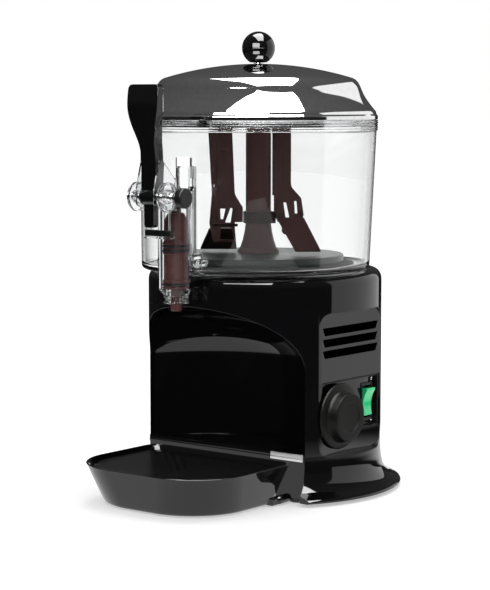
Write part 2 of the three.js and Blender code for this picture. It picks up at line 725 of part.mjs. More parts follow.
const PORT_Z = 236;
function bowl() {
  const valve = turned([
    [0, VALVE_Z[0] - 2.8], [12.8, VALVE_Z[0] - 2.8], [VALVE_R, VALVE_Z[0] + 2],
    [VALVE_R, VALVE_Z[1]], [0, VALVE_Z[1]],
  ], 32, [0, TAP_Y, 0]);
  const vent = disc(VENT_PIPE_R, [BOWL_BOTTOM + 2, VENT_PIPE_TOP], [0, VENT_PIPE_Y], 24);
  const duct = block([-13, 13], [TAP_Y, -104], [BOWL_BOTTOM, BOWL_BOTTOM + 22]);
  const lugs = union(
    depthBar(4.5, [TAP_Y + 2, -112], [-23, BOWL_BOTTOM + 13]),
    depthBar(4.5, [TAP_Y + 2, -112], [23, BOWL_BOTTOM + 13]),
    block([-23, 23], [TAP_Y + 6, TAP_Y + 10], [BOWL_BOTTOM + 10, BOWL_BOTTOM + 16]),
  );
  return cut(
    union(bowlShell(), valve, vent, duct, lugs),
    disc(VALVE_BORE, [VALVE_Z[0] + 3.6, VALVE_Z[1] + 1], [0, TAP_Y], 32),
    disc(7, [VALVE_Z[0] - 4, VALVE_Z[0] + 5], [0, TAP_Y], 24),
    disc(4.3, [PORT_Z, VENT_PIPE_TOP + 1], [0, VENT_PIPE_Y + 3], 16),
    depthBar(9, [TAP_Y, -98], [0, PORT_Z + 1], 24),
    block([-10.1, 10.1], [TAP_Y - 25, TAP_Y - 5], [VALVE_Z[1] - 13, VALVE_Z[1] + 1]),
  );
}
add(dispenser, 'bowl', bowl(), clear);

add(dispenser, 'bowl_seal', turned([
  [PLATE_R + 0.4, 227], [BOWL_HOLE_R - GAP, 227], [BOWL_HOLE_R - GAP, 229.3],
  [BOWL_HOLE_R + 3, 229.3], [BOWL_HOLE_R + 3, 231], [PLATE_R + 0.4, 233.4],
], 48), rubber);

// ---------------------------------------------------------------- lid
function lidShell() {
  const [edgeR, edgeZ] = LID_SHOULDER;
  const rise = LID_TOP - edgeZ;
  const sphere = (edgeR ** 2 + rise ** 2) / (2 * rise);
  const dome = (inset) => Array.from({ length: 5 }, (_, i) => {
    const r = edgeR * (1 - i / 4);
    return [Math.max(r, 2.8), LID_TOP - inset - sphere + Math.sqrt(sphere ** 2 - r ** 2)];
  });
  const skirt = (inset) => [
    [RIM_R - inset, LID_BOTTOM + 4.4], [119.4 - inset, 384.2], [111.6 - inset, 394.4],
    [106.8 - inset, 402], [104 - inset, 408.4], [99.8 - inset, 415 - inset / 2],
  ];
  return turned([
    [118.9, LID_BOTTOM], [RIM_R, LID_BOTTOM], ...skirt(0), ...dome(0),
    ...dome(LID_WALL).reverse(), ...skirt(LID_WALL).reverse(),
    [116.7, LID_BOTTOM + 2.4], [116.7, LID_BOTTOM - 8], [114.9, LID_BOTTOM - 8],
    [114.9, LID_BOTTOM + 1.2], [118.9, LID_BOTTOM + 1.2],
  ], 48);
}
add(dispenser, 'lid_shell', lidShell(), chrome);

function lidKnob() {
  const points = [[0, KNOB_FLAT_Z]];
  const start = Math.asin((KNOB_FLAT_Z - KNOB_Z) / KNOB_R);
  for (let i = 0; i <= 9; i += 1) {
    const angle = start + (Math.PI / 2 - start) * i / 9;
    points.push([Math.max(KNOB_R * Math.cos(angle), 0), KNOB_Z + KNOB_R * Math.sin(angle)]);
  }
  return cut(turned(points, 28), disc(2.5 + GAP, [430, 446], [0, 0], 12));
}
add(dispenser, 'lid_knob', lidKnob(), blackGloss);
add(dispenser, 'knob_washer', ring(5, 2.8, [LID_TOP + 0.2, KNOB_FLAT_Z - 0.2], [0, 0], 24), chrome);
add(dispenser, 'knob_screw', union(
  disc(2.5, [LID_TOP - 4, 445], [0, 0], 16),
  disc(5, [LID_TOP - LID_WALL - 3.4, LID_TOP - LID_WALL - 0.4], [0, 0], 16),
), steel);

// ---------------------------------------------------------------- tap
const tap = new THREE.Group();
tap.position.set(0, TAP_Y, 0);
dispenser.add(tap);

add(tap, 'outlet_nozzle', turned([
  [6.3, NOZZLE_Z[0]], [NOZZLE_R, NOZZLE_Z[0]], [NOZZLE_R, NOZZLE_Z[0] + 2],
  [9.6, NOZZLE_Z[0] + 2.4], [9.6, NOZZLE_Z[1] - 2.2], [NOZZLE_R - 0.4, NOZZLE_Z[1] - 1.8],
  [NOZZLE_R - 0.4, NOZZLE_Z[1]], [6.3, NOZZLE_Z[1]],
], 24), clear);

const RING_R = 1.4;
const LOWER_RING_Z = 217.2;
const UPPER_RINGS_Z = [250.2, 254.6];
const groove = (z) => [
  [PISTON_R, z - 1.6], [10.4, z - 1.6], [10.4, z + 1.6], [PISTON_R, z + 1.6],
];
add(tap, 'piston', turned([
  [0, PISTON_NOSE_Z], [4.6, PISTON_NOSE_Z], [5.6, PISTON_NOSE_Z + 1.2], [5.6, 213.4],
  [PISTON_R, 213.4], ...groove(LOWER_RING_Z),
  [PISTON_R, 221.4], [11, 222.2], [11, 246.6], [PISTON_R, 247.4],
  ...groove(UPPER_RINGS_Z[0]), ...groove(UPPER_RINGS_Z[1]),
  [PISTON_R, 258], [11.4, 259], [11.4, PISTON_TOP - 6], [8, PISTON_TOP], [4.5, PISTON_TOP + 1],
  [4.5, AXLE_Z + 5], [0, AXLE_Z + 5],
], 24).subtract(crossBar(2.3, [-10, 10], [0, AXLE_Z], 16)), brown);

const oRing = () => solid(new THREE.TorusGeometry(12, RING_R, 6, 16));
add(tap, 'piston_ring_low', oRing(), rubber, [0, 0, LOWER_RING_Z]);
UPPER_RINGS_Z.forEach((z, i) => add(tap, `piston_ring_${i + 1}`, oRing(), rubber, [0, 0, z]));
add(tap, 'piston_pin', crossBar(2, [-9.6, 9.6], [0, AXLE_Z], 16), steel);

const axle = new THREE.Group();
axle.position.set(0, AXLE_Y, AXLE_Z);
dispenser.add(axle);

const HUB_W = 9.4;
function lever() {
  const front = new THREE.Shape();
  front.moveTo(-9, -4);
  front.lineTo(9, -4);
  front.lineTo(9.2, 46);
  front.bezierCurveTo(11, 62, 18.5, 66, 19, 92);
  front.bezierCurveTo(19, 104, 16, 107.4, 9, 107.4);
  front.lineTo(-9, 107.4);
  front.bezierCurveTo(-16, 107.4, -19, 104, -19, 92);
  front.bezierCurveTo(-18.5, 66, -11, 62, -9.2, 46);
  front.closePath();
  const side = new THREE.Shape();
  side.moveTo(-5.5, -6);
  side.lineTo(5.5, -6);
  side.lineTo(6.5, 34);
  side.bezierCurveTo(6.5, 56, -3.5, 62, -4.5, 84);
  side.lineTo(-4, 110);
  side.lineTo(-11.5, 110);
  side.bezierCurveTo(-14.5, 92, -15, 72, -8.5, 54);
  side.quadraticCurveTo(-4, 42, -4.5, 30);
  side.closePath();
  const handle = inDepth(front, [-30, 30], 6).intersect(sideways(side, [-30, 30], 6));
  const tongue = inDepth(roundedRectangle([-6, 6], [-29.5, 2], 5), [-5, 3]);
  const tines = union(
    block([6, HUB_W - 0.4], [0, 41], [-4.4, 4.4]), block([0.4 - HUB_W, -6], [0, 41], [-4.4, 4.4]),
  );
  const slots = block([-20, 20], [LEVER_REACH - 2.8, 50], [-2.7, 2.7]);
  return cut(
    union(handle, crossBar(8.5, [-HUB_W, HUB_W], [0, 0], 28), tongue, cut(tines, slots)),
    crossBar(AXLE_R + GAP, [-20, 20], [0, 0], 20),
  );
}
add(axle, 'lever', lever(), blackGloss);

function leverBracket() {
  const half = block(wide, [-60, 2.6], [280, 320]);
  const collar = ring(VALVE_R + 2.6, VALVE_R + GAP, [291, VALVE_Z[1]], [0, 0], 40).intersect(half);
  const side = shapeOf([
    [-2, 291], [-2, 307], [-33, 339], [-37.5, 339], [-45.4, 312], [-45.4, 296], [-30, 289.5],
    [-14, 289.5],
  ]);
  const cheeks = union(
    sideways(side, CHEEK_X), sideways(side, [-CHEEK_X[1], -CHEEK_X[0]]),
  );
  const hangers = union(
    block(CHEEK_X, [-23.4, -21], [262.6, 292]),
    block([-CHEEK_X[1], -CHEEK_X[0]], [-23.4, -21], [262.6, 292]),
    block([-17, 17], [-28, -21], [262.6, 264.6]),
    block([-17, 17], [-23.4, -21], [262.6, 271]),
  );
  return cut(
    union(cheeks.subtract(disc(VALVE_R + GAP, [280, 320], [0, 0], 40)), collar, hangers),
    block([-10.1, 10.1], [-45, -5], [280, 320]),
    crossBar(AXLE_R + GAP, [-30, 30], [AXLE_Y - TAP_Y, AXLE_Z], 20),
    disc(VENT_PIPE_R + GAP, [280, 320], [0, VENT_PIPE_Y - TAP_Y], 24),
  );
}
add(tap, 'lever_bracket', leverBracket(), clear);
add(tap, 'stop_bar', sideways(
  roundedRectangle([-27.8, -23.8], [265, 271.4], 1.6), [-16, 16], 4,
), blackSatin);

add(axle, 'axle_pin', crossBar(AXLE_R, [-25, 41]), steel);
const wheel = (x) => cut(
  crossBar(14.4, [x - 2, x + 2], [0, 0], 28), crossBar(AXLE_R + GAP, [-60, 60]),
);
const sleeve = (radius, span) => cut(
  crossBar(radius, span, [0, 0], 20), crossBar(AXLE_R + GAP, [-60, 60]),
);
add(axle, 'wheel_left', wheel(-17.6), clear);
add(axle, 'wheel_right', wheel(19.6), clear);
add(axle, 'hub_left', sleeve(6.2, [-24, -19.9]), chrome);
add(axle, 'hub_right', sleeve(6.6, [12.7, 17.3]), chrome);
add(axle, 'spacer_left', sleeve(5.4, [-15.3, -12.7]), chrome);
add(axle, 'spacer_right', sleeve(4.6, [21.9, 34]), chrome);
add(axle, 'axle_knob', cut(
  crossBar(9.8, [34.4, 43.4], [0, 0], 28), crossBar(AXLE_R + GAP, [30, 41.4]),
), blackSatin);

// ---------------------------------------------------------------- drip tray
// The tray's outline at one height, "inset" inside the rim's outer edge.
function trayOutline(inset) {
  const half = TRAY_HALF_W - inset;
  const front = TRAY_FRONT + inset;
  const back = TRAY_BACK - inset;
  const corners = [
    [half - TRAY_BACK_CORNER, back - TRAY_BACK_CORNER, TRAY_BACK_CORNER, 0, 4],
    [TRAY_BACK_CORNER - half, back - TRAY_BACK_CORNER, TRAY_BACK_CORNER, 1, 4],
    [TRAY_CORNER - half, front + TRAY_CORNER, TRAY_CORNER, 2, 10],
    [half - TRAY_CORNER, front + TRAY_CORNER, TRAY_CORNER, 3, 10],
  ];
  return corners.flatMap(([x, y, r, quarter, steps]) => (
    Array.from({ length: steps + 1 }, (_, i) => {
      const angle = (quarter + i / steps) * Math.PI / 2;
      return [x + r * Math.cos(angle), y + r * Math.sin(angle)];
    })
  ));
}

// The rounded foot under one of the tray's back corners: a stub with a pill-shaped runner.
function trayFoot(side) {
  const [x, y, z] = TRAY_FOOT_AT;
  const [across, deep, tall] = TRAY_FOOT_BLOCK;
  const stub = new THREE.BoxGeometry(across, deep, tall);
  const runner = new THREE.CapsuleGeometry(TRAY_FOOT_R, 13, 4, 12);
  return union(
    solid(stub.translate(side * (x - 3.5), y - 11, z - 0.6)),
    solid(runner.translate(side * x, y, z)),
  );
}

const insetAt = (z) => TRAY_INSET * (TRAY_RIM_Z - z) / (TRAY_RIM_Z - TRAY_BOTTOM);
const trayFloor = TRAY_BOTTOM + TRAY_WALL;
add(dispenser, 'drip_tray', cut(
  union(
    loft([
      { points: trayOutline(TRAY_INSET), z: TRAY_BOTTOM },
      { points: trayOutline(0), z: TRAY_RIM_Z },
    ]),
    trayFoot(-1),
    trayFoot(1),
  ),
  loft([
    { points: trayOutline(insetAt(trayFloor) + TRAY_WALL), z: trayFloor },
    { points: trayOutline(TRAY_WALL - 0.3), z: TRAY_RIM_Z + 1 },
  ]),
), blackGloss);

function dripGrid() {
  const low = GRID_TOP - GRID_T;
  const plate = loft([
    { points: trayOutline(insetAt(low) + TRAY_WALL + 1.2), z: low },
    { points: trayOutline(insetAt(low) + TRAY_WALL + 1.2), z: GRID_TOP },
  ]);
  const legs = [[-42, -160], [42, -160], [-60, -85], [60, -85]].map(([x, y]) => (
    disc(4, [trayFloor + GAP, low + 1], [x, y], 12)
  ));
  const holes = [];
  for (let row = 0; row < 5; row += 1) {
    const y = -174 + row * 24;
    const count = row === 0 ? 4 : 6;
    for (let i = 0; i < count; i += 1) {
      holes.push(disc(3.4, [low - 1, GRID_TOP + 1], [(i - (count - 1) / 2) * 24, y], 6));
    }
  }
  return cut(union(plate, ...legs), ...holes);
}
add(dispenser, 'drip_grid', dripGrid(), blackSatin);

// ---------------------------------------------------------------- origin
// The footprint runs from the tray's front to the back of the casing's flared foot.
dispenser.position.y = -(TRAY_FRONT + BODY_Y + FLARE_R) / 2;

export default dispenser;
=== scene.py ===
"""Looks for a countertop heated bowl dispenser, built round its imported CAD.

Sizes are in millimetres in the CAD's working frame, which has the bowl's axis at x = y = 0,
the front at -y and the counter at z = 0. `place` turns them into metres in the row frame.
"""
import json
import math

import bmesh
import bpy
from mathutils import Matrix, Vector


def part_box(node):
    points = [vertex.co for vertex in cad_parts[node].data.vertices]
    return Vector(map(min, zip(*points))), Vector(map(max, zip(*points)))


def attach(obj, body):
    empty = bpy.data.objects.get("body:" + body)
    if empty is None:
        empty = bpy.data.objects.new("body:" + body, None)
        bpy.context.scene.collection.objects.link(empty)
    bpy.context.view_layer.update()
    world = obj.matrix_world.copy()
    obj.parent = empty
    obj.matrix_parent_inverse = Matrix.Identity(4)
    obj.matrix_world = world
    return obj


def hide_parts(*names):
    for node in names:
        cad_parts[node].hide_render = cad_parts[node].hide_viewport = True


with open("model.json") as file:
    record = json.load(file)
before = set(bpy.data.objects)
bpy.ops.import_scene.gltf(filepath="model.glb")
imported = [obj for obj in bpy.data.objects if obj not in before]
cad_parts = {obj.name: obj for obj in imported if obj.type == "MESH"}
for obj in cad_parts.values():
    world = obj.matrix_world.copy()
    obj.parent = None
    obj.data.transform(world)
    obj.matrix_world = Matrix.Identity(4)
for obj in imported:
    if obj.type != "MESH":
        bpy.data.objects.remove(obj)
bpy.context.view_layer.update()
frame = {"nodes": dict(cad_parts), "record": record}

MM = 0.001
knob_low, knob_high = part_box("lid_knob")
AXIS_X = (knob_low[0] + knob_high[0]) / 2
AXIS_Y = (knob_low[1] + knob_high[1]) / 2


def place(x, y, z):
    return Vector((AXIS_X + x * MM, AXIS_Y + y * MM, z * MM))


# ---------------- materials
def new_material(name):
    material = bpy.data.materials.new(name)
    material.use_nodes = True
    tree = material.node_tree
    shader = tree.nodes["Principled BSDF"]
    return material, tree, shader


def grained(name, colour, roughness, metallic=0.0, spread=0.05, grain=220.0, bump=0.02,
            edge=0.0, stretch=(1, 1, 1), tint=0.06, coat=0.0, ior=1.5, transmission=0.0, sheen=0.5,
            rim=1.0):
    """A surface whose colour, roughness and height vary a little, with worn-round edges.
    `rim` is how much of a clear moulding's light still passes where it is seen edge on."""
    material, tree, shader = new_material(name)
    nodes, links = tree.nodes, tree.links
    shader.inputs["Metallic"].default_value = metallic
    shader.inputs["IOR"].default_value = ior
    shader.inputs["Coat Weight"].default_value = coat
    shader.inputs["Specular IOR Level"].default_value = sheen
    shader.inputs["Coat Roughness"].default_value = 0.03
    shader.inputs["Transmission Weight"].default_value = transmission
    where = nodes.new("ShaderNodeTexCoord")
    scale = nodes.new("ShaderNodeMapping")
    scale.inputs["Scale"].default_value = stretch
    links.new(where.outputs["Object"], scale.inputs["Vector"])
    fine = nodes.new("ShaderNodeTexNoise")
    fine.inputs["Scale"].default_value = grain
    fine.inputs["Detail"].default_value = 4
    links.new(scale.outputs["Vector"], fine.inputs["Vector"])
    broad = nodes.new("ShaderNodeTexNoise")
    broad.inputs["Scale"].default_value = 14
    broad.inputs["Detail"].default_value = 3
    links.new(scale.outputs["Vector"], broad.inputs["Vector"])
    dulling = nodes.new("ShaderNodeMapRange")
    dulling.inputs["To Min"].default_value = max(roughness - spread, 0.0)
    dulling.inputs["To Max"].default_value = roughness + spread
    links.new(broad.outputs["Fac"], dulling.inputs["Value"])
    links.new(dulling.outputs["Result"], shader.inputs["Roughness"])
    shades = nodes.new("ShaderNodeValToRGB")
    low, high = shades.color_ramp.elements
    low.position, high.position = 0.3, 0.7
    low.color = [c * (1 - tint) for c in colour] + [1]
    high.color = [min(c * (1 + tint), 1) for c in colour] + [1]
    links.new(fine.outputs["Fac"], shades.inputs["Fac"])
    links.new(shades.outputs["Color"], shader.inputs["Base Color"])
    if rim < 1:
        turned_away = nodes.new("ShaderNodeLayerWeight")
        turned_away.inputs["Blend"].default_value = 0.5
        passing = nodes.new("ShaderNodeMapRange")
        passing.interpolation_type = "SMOOTHSTEP"
        passing.inputs["From Min"].default_value = 0.55
        passing.inputs["To Min"].default_value = 1.0
        passing.inputs["To Max"].default_value = rim
        links.new(turned_away.outputs["Facing"], passing.inputs["Value"])
        darkened = nodes.new("ShaderNodeVectorMath")
        darkened.operation = "SCALE"
        links.new(shades.outputs["Color"], darkened.inputs[0])
        links.new(passing.outputs["Result"], darkened.inputs["Scale"])
        links.new(darkened.outputs["Vector"], shader.inputs["Base Color"])
    relief = nodes.new("ShaderNodeBump")
    relief.inputs["Strength"].default_value = bump
    relief.inputs["Distance"].default_value = 0.0004
    links.new(fine.outputs["Fac"], relief.inputs["Height"])
    if edge:
        rounding = nodes.new("ShaderNodeBevel")
        rounding.samples = 6
        rounding.inputs["Radius"].default_value = edge * MM
        links.new(rounding.outputs["Normal"], relief.inputs["Normal"])
    links.new(relief.outputs["Normal"], shader.inputs["Normal"])
    return material


gloss_black = grained("gloss_black", (0.0035, 0.0035, 0.004), 0.022, spread=0.01, bump=0.002, edge=0.7)
satin_black = grained("satin_black", (0.007, 0.007, 0.007), 0.34, bump=0.08, edge=0.3, grain=1500,
                      sheen=0.3)
grid_black = grained("grid_black", (0.003, 0.003, 0.003), 0.24, bump=0.04, grain=1500, sheen=0.2)
dial_black = grained("dial_black", (0.006, 0.0055, 0.005), 0.40, bump=0.06, edge=0.4, grain=1800,
                     sheen=0.14)
mark_brown = grained("mark_brown", (0.17, 0.12, 0.085), 0.5, bump=0.05, grain=1800, tint=0.2)
mirror_chrome = grained("mirror_chrome", (0.82, 0.82, 0.83), 0.018, 1.0, spread=0.01, bump=0.002)
# Bright satin metal used only on the shelf lip's right end: a painted highlight in place of the reflection
# the gloss black lip shows there.
painted_highlight_metal = grained("painted_highlight_metal", (0.80, 0.80, 0.80), 0.34, 1.0, spread=0.06, bump=0.02, edge=0.2,
                      grain=1500)
plain_steel = grained("plain_steel", (0.42, 0.42, 0.42), 0.28, 1.0, spread=0.08, bump=0.05,
                      grain=900, stretch=(1, 1, 12))
plate_steel = grained("plate_steel", (0.055, 0.064, 0.061), 0.30, 0.35, spread=0.06, bump=0.04, grain=900,
                      sheen=0.3)
clear_bowl = grained("clear_bowl", (0.985, 0.99, 0.99), 0.006, spread=0.004, bump=0.002, tint=0.004,
                     ior=1.44, transmission=1.0, rim=0.12)
clear_tap = grained("clear_tap", (0.95, 0.965, 0.965), 0.012, spread=0.008, bump=0.006, tint=0.01,
                    ior=1.34, transmission=1.0, rim=0.10)
clear_trim = grained("clear_trim", (0.94, 0.955, 0.955), 0.018, spread=0.01, bump=0.006, tint=0.01,
                     ior=1.42, transmission=1.0, edge=0.4, rim=0.08)
brown = grained("brown", (0.066, 0.033, 0.032), 0.34, spread=0.05, bump=0.02, edge=0.3, tint=0.04,
                grain=1700, sheen=0.12)
dark_brown = grained("dark_brown", (0.020, 0.009, 0.009), 0.36, spread=0.05, bump=0.02, edge=0.3,
                     tint=0.04, grain=1700, sheen=0.12)
piston_brown = grained("piston_brown", (0.088, 0.034, 0.034), 0.36, spread=0.05, bump=0.02, tint=0.04,
                       grain=1700, sheen=0.12)
black_rubber = grained("black_rubber", (0.010, 0.010, 0.010), 0.7, bump=0.2, grain=1800)
green_cap = grained("green_cap", (0.012, 0.66, 0.23), 0.22, spread=0.05, bump=0.02, edge=0.4, coat=0.5,
                    grain=1500)
white_gear = grained("white_gear", (0.72, 0.70, 0.64), 0.5, bump=0.1)
cast_zinc = grained("cast_zinc", (0.34, 0.35, 0.37), 0.45, 0.9, bump=0.3)
copper = grained("copper", (0.50, 0.22, 0.12), 0.35, 1.0, bump=0.1)


# ---------------- shapes
def rounded(points, steps=6, closed=True):
    """An outline of (u, v, radius) corners with each corner rounded by a smooth arc."""
    out = []
    count = len(points)
    for i, (u, v, radius) in enumerate(points):
        here = Vector((u, v))
        ends = not closed and i in (0, count - 1)
        if radius <= 0 or ends:
            out.append(here)
            continue
        before = Vector(points[i - 1][:2]) - here
        after = Vector(points[(i + 1) % count][:2]) - here
        turn = math.pi - before.angle(after)
        reach = min(radius * math.tan(turn / 2), 0.49 * before.length, 0.49 * after.length)
        start = here + before.normalized() * reach
        end = here + after.normalized() * reach
        for k in range(steps + 1):
            t = k / steps
            out.append(start * (1 - t) ** 2 + here * 2 * t * (1 - t) + end * t * t)
    return [(p.x, p.y) for p in out]


def smooth_through(points, steps=8):
    """A curve through the given points (Catmull-Rom)."""
    ring = [points[0], *points, points[-1]]
    out = []
    for a, b, c, d in zip(ring, ring[1:], ring[2:], ring[3:]):
        for k in range(steps):
            t = k / steps
            out.append(tuple(
                0.5 * (2 * q + (r - p) * t + (2 * p - 5 * q + 4 * r - s) * t * t
                       + (3 * q - p - 3 * r + s) * t ** 3)
                for p, q, r, s in zip(a, b, c, d)))
    return out + [tuple(points[-1])]


def finish_mesh(name, bm, smooth=35):
    bmesh.ops.remove_doubles(bm, verts=bm.verts, dist=1e-7)
    bmesh.ops.recalc_face_normals(bm, faces=bm.faces)
    for face in bm.faces:
        face.smooth = True
    for edge in bm.edges:
        if len(edge.link_faces) == 2 and edge.calc_face_angle(0) > math.radians(smooth):
            edge.smooth = False
    mesh = bpy.data.meshes.new(name)
    bm.to_mesh(mesh)
    bm.free()
    thing = bpy.data.objects.new(name, mesh)
    bpy.context.scene.collection.objects.link(thing)
    return thing


def turned(name, profile, at=(0, 0), segments=192, axis="z", lean=0.0, lean_from=0.0):
    """A closed outline of (radius, height) turned about an upright or sideways axis."""
    bm = bmesh.new()
    rings = []
    for r, h in profile:
        ring = []
        for k in range(1 if r < 1e-6 else segments):
            angle = 2 * math.pi * k / segments
            u, v = r * math.cos(angle), r * math.sin(angle)
            if axis == "z":
                spot = place(at[0] + u, at[1] + v + lean * (h - lean_from), h)
            elif axis == "x":
                spot = place(h, at[0] + u, at[1] + v)
            else:
                spot = place(at[0] + u, h, at[1] + v)
            ring.append(bm.verts.new(spot))
        rings.append(ring)
    for a, b in zip(rings, rings[1:] + rings[:1]):
        if len(a) == 1 and len(b) == 1:
            continue
        for k in range(segments):
            corners = [a[k % len(a)], a[(k + 1) % len(a)], b[(k + 1) % len(b)], b[k % len(b)]]
            corners = list(dict.fromkeys(corners))
            if len(corners) > 2:
                bm.faces.new(corners)
    return finish_mesh(name, bm)


def slab(name, outline, span, axis="z", bevel=0.0, steps=2, turn=0.0):
    """A flat outline pushed along an axis, with its edges rounded. Along x the outline is
    (y, z), along y it is (x, z) and along z it is (x, y). `turn` spins it about the bowl axis."""
    bm = bmesh.new()
    ends = []
    for depth in span:
        ring = []
        for u, v in outline:
            x, y, z = {"x": (depth, u, v), "y": (u, depth, v), "z": (u, v, depth)}[axis]
            spin = math.cos(turn), math.sin(turn)
            ring.append(bm.verts.new(place(x * spin[0] - y * spin[1], x * spin[1] + y * spin[0], z)))
        ends.append(ring)
    bm.faces.new(ends[0])
    bm.faces.new(ends[1])
    count = len(outline)
    for k in range(count):
        n = (k + 1) % count
        bm.faces.new([ends[0][k], ends[0][n], ends[1][n], ends[1][k]])
    bmesh.ops.recalc_face_normals(bm, faces=bm.faces)
    if bevel:
        sharp = [e for e in bm.edges if e.calc_face_angle(0) > math.radians(30)]
        bmesh.ops.bevel(bm, geom=sharp, offset=bevel * MM, segments=steps, affect="EDGES",
                        profile=0.6, clamp_overlap=True)
    return finish_mesh(name, bm)


def loft(name, levels):
    """A skin over level outlines with the same number of points, closed at both ends."""
    bm = bmesh.new()
    rings = [[bm.verts.new(place(x, y, z)) for x, y in outline] for outline, z in levels]
    for a, b in zip(rings, rings[1:]):
        for k in range(len(a)):
            n = (k + 1) % len(a)
            bm.faces.new([a[k], a[n], b[n], b[k]])
    bm.faces.new(rings[0])
    bm.faces.new(rings[-1])
    return finish_mesh(name, bm)


def oblong(u, v, radius=0.0, steps=4):
    """The outline of a rectangle between two limits each way, with rounded corners if asked."""
    corners = [(u[0], v[0]), (u[1], v[0]), (u[1], v[1]), (u[0], v[1])]
    return rounded([(*corner, radius) for corner in corners], steps) if radius else corners


def box(name, x, y, z, bevel=0.0, steps=3):
    return slab(name, oblong(x, y), z, "z", bevel, steps)


def combine(thing, others, operation="DIFFERENCE", smooth=35, keep=False):
    """Cuts other solids out of thing, joins them to it or keeps what they share."""
    for other in others:
        change = thing.modifiers.new("change", "BOOLEAN")
        change.object = other
        change.operation = operation
        change.solver = "EXACT"
    graph = bpy.context.evaluated_depsgraph_get()
    mesh = bpy.data.meshes.new_from_object(thing.evaluated_get(graph))
    thing.modifiers.clear()
    old = thing.data
    thing.data = mesh
    bpy.data.meshes.remove(old)
    if not keep:
        for other in others:
            bpy.data.objects.remove(other)
    bm = bmesh.new()
    bm.from_mesh(thing.data)
    bmesh.ops.remove_doubles(bm, verts=bm.verts, dist=2e-6)
    bmesh.ops.dissolve_degenerate(bm, edges=bm.edges, dist=1e-6)
    for face in bm.faces:
        face.smooth = True
    for edge in bm.edges:
        edge.smooth = not (len(edge.link_faces) == 2
                           and edge.calc_face_angle(0) > math.radians(smooth))
    bm.to_mesh(thing.data)
    bm.free()
    return thing


def show(thing, material, body, slot, *nodes):
    """Gives a piece its finish, the body it moves with and the CAD nodes it stands for."""
    thing.data.materials.clear()
    thing.data.materials.append(material)
    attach(thing, body)
    if nodes:
        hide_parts(*nodes)
    return thing


def circle(radius, count=64, at=(0, 0)):
    return [(at[0] + radius * math.cos(2 * math.pi * k / count),
             at[1] + radius * math.sin(2 * math.pi * k / count)) for k in range(count)]


def rod(name, radius, span, axis, at, segments=64, edge=0.3):
    """A round bar with softened ends, along an axis through `at`."""
    low, high = span
    profile = rounded([(0, low, 0), (radius, low, edge), (radius, high, edge), (0, high, 0)], 3)
    return turned(name, profile, at, segments, axis)


# ---------------- casing
BODY_Y, BODY_R = 11.35, 120
BAY_Y, BAY_R, BAY_SPRING, BAY_RISE = -96, 108.5, 131, 62
SHELF_Z, SHELF_FRONT, BASE_FRONT = 46, -55, -69
FLAT_X, FLAT_Y, FLAT_Z, FLAT_CORNER = 108, (-41, 64), (43, 187), 15
DIAL_Y, DIAL_Z = -9.5, 82.6
SWITCH_Y, SWITCH_Z = 46.5, 90


def casing_outline(inset, bottom, top):
    wall = BODY_R - inset
    flare = smooth_through([(wall + out, height - inset) for out, height in (
        (21.3, 5.2), (19.8, 6.9), (14.6, 9.5), (8.5, 13.2), (3.5, 19.8), (1.2, 29), (0.3, 38), (0, 46))], 6)
    foot = rounded([(0, bottom, 0), (wall + 20.2, bottom, 0.6), (wall + 21.2, bottom + 0.9, 0.6),
                    (wall + 21.3, 5.2 - inset, 0)], 4, closed=False)
    top_edge = rounded([(wall, 60, 0), (wall, top, 12.5), (0, top, 0)], 14, closed=False)
    return foot[:-1] + flare + top_edge


def bay_solid(name, grow, low):
    radius = BAY_R + grow
    dome = [(radius * math.cos(a), BAY_SPRING + (BAY_RISE + grow) * math.sin(a))
            for a in (math.pi / 2 * k / 40 for k in range(41))]
    dome[-1] = (0, BAY_SPRING + BAY_RISE + grow)
    foot = rounded([(0, low, 0), (radius, low, 0.4), (radius, BAY_SPRING, 0)], 3, closed=False)
    return turned(name, foot[:-1] + dome, (0, BAY_Y), 256)


def flat_cutter(name, grow):
    y0, y1 = FLAT_Y[0] - grow, FLAT_Y[1] + grow
    z0, z1 = FLAT_Z[0] - grow, FLAT_Z[1] + grow
    corner = FLAT_CORNER + grow
    return slab(name, oblong((y0, y1), (z0, z1), corner, 12), (FLAT_X - grow, 150), "x")


def front_cutters(grow):
    """Solids that clear the space in front of the casing, kept `grow` off its skin."""
    mouth = turned("mouth", [(0, -5), (BAY_R + grow, -5), (BAY_R + grow, SHELF_Z + 1),
                             (0, SHELF_Z + 1)], (0, BAY_Y), 256)
    front = box("front", (-200, 200), (-260, SHELF_FRONT + grow), (-6, SHELF_Z + 2))
    combine(mouth, [front], "INTERSECT")
    return [bay_solid("bay", grow, SHELF_Z - grow), mouth,
            box("clear", (-200, 200), (-260, BASE_FRONT + grow), (-6, SHELF_Z)),
            flat_cutter("flat", grow)]


VENT_TOPS = (172.4, 161.1, 149.8)


def vent(top):
    outline = rounded([(-36, top, 1.2), (-32.5, top - 8, 1.2), (56, top - 8, 1.2),
                       (59.5, top, 1.2)], 4)
    return slab("vent", outline, (FLAT_X - 9, FLAT_X + 1), "x")


TUB_Y, TUB_Z, TUB_FACE = (-35, 60.5), (65.5, 116), FLAT_X - 6
casing = turned("casing", casing_outline(0, 3, 224.5), (0, BODY_Y), 256)
hollow = turned("hollow", casing_outline(3, 1, 221.5), (0, BODY_Y), 128)
combine(hollow, front_cutters(3))
tub_hole = slab("tub_hole", rounded([(TUB_Y[0] - 2, TUB_Z[0] - 2, 2), (TUB_Y[1] + 2, TUB_Z[0] - 2, 2),
                                     (TUB_Y[1] + 2, TUB_Z[1] + 2, 2), (TUB_Y[0] - 2, TUB_Z[1] + 2, 2)], 4),
                (FLAT_X - 9, FLAT_X + 1), "x")
gland_hole = rod("gland_hole", 7.3, (118, 160), "y", (0, 64))
deck_hole = turned("deck_hole", [(0, 215), (84, 215), (84, 230), (0, 230)])
combine(casing, front_cutters(0) + [hollow, tub_hole, gland_hole, deck_hole]
        + [vent(top) for top in VENT_TOPS], smooth=28)
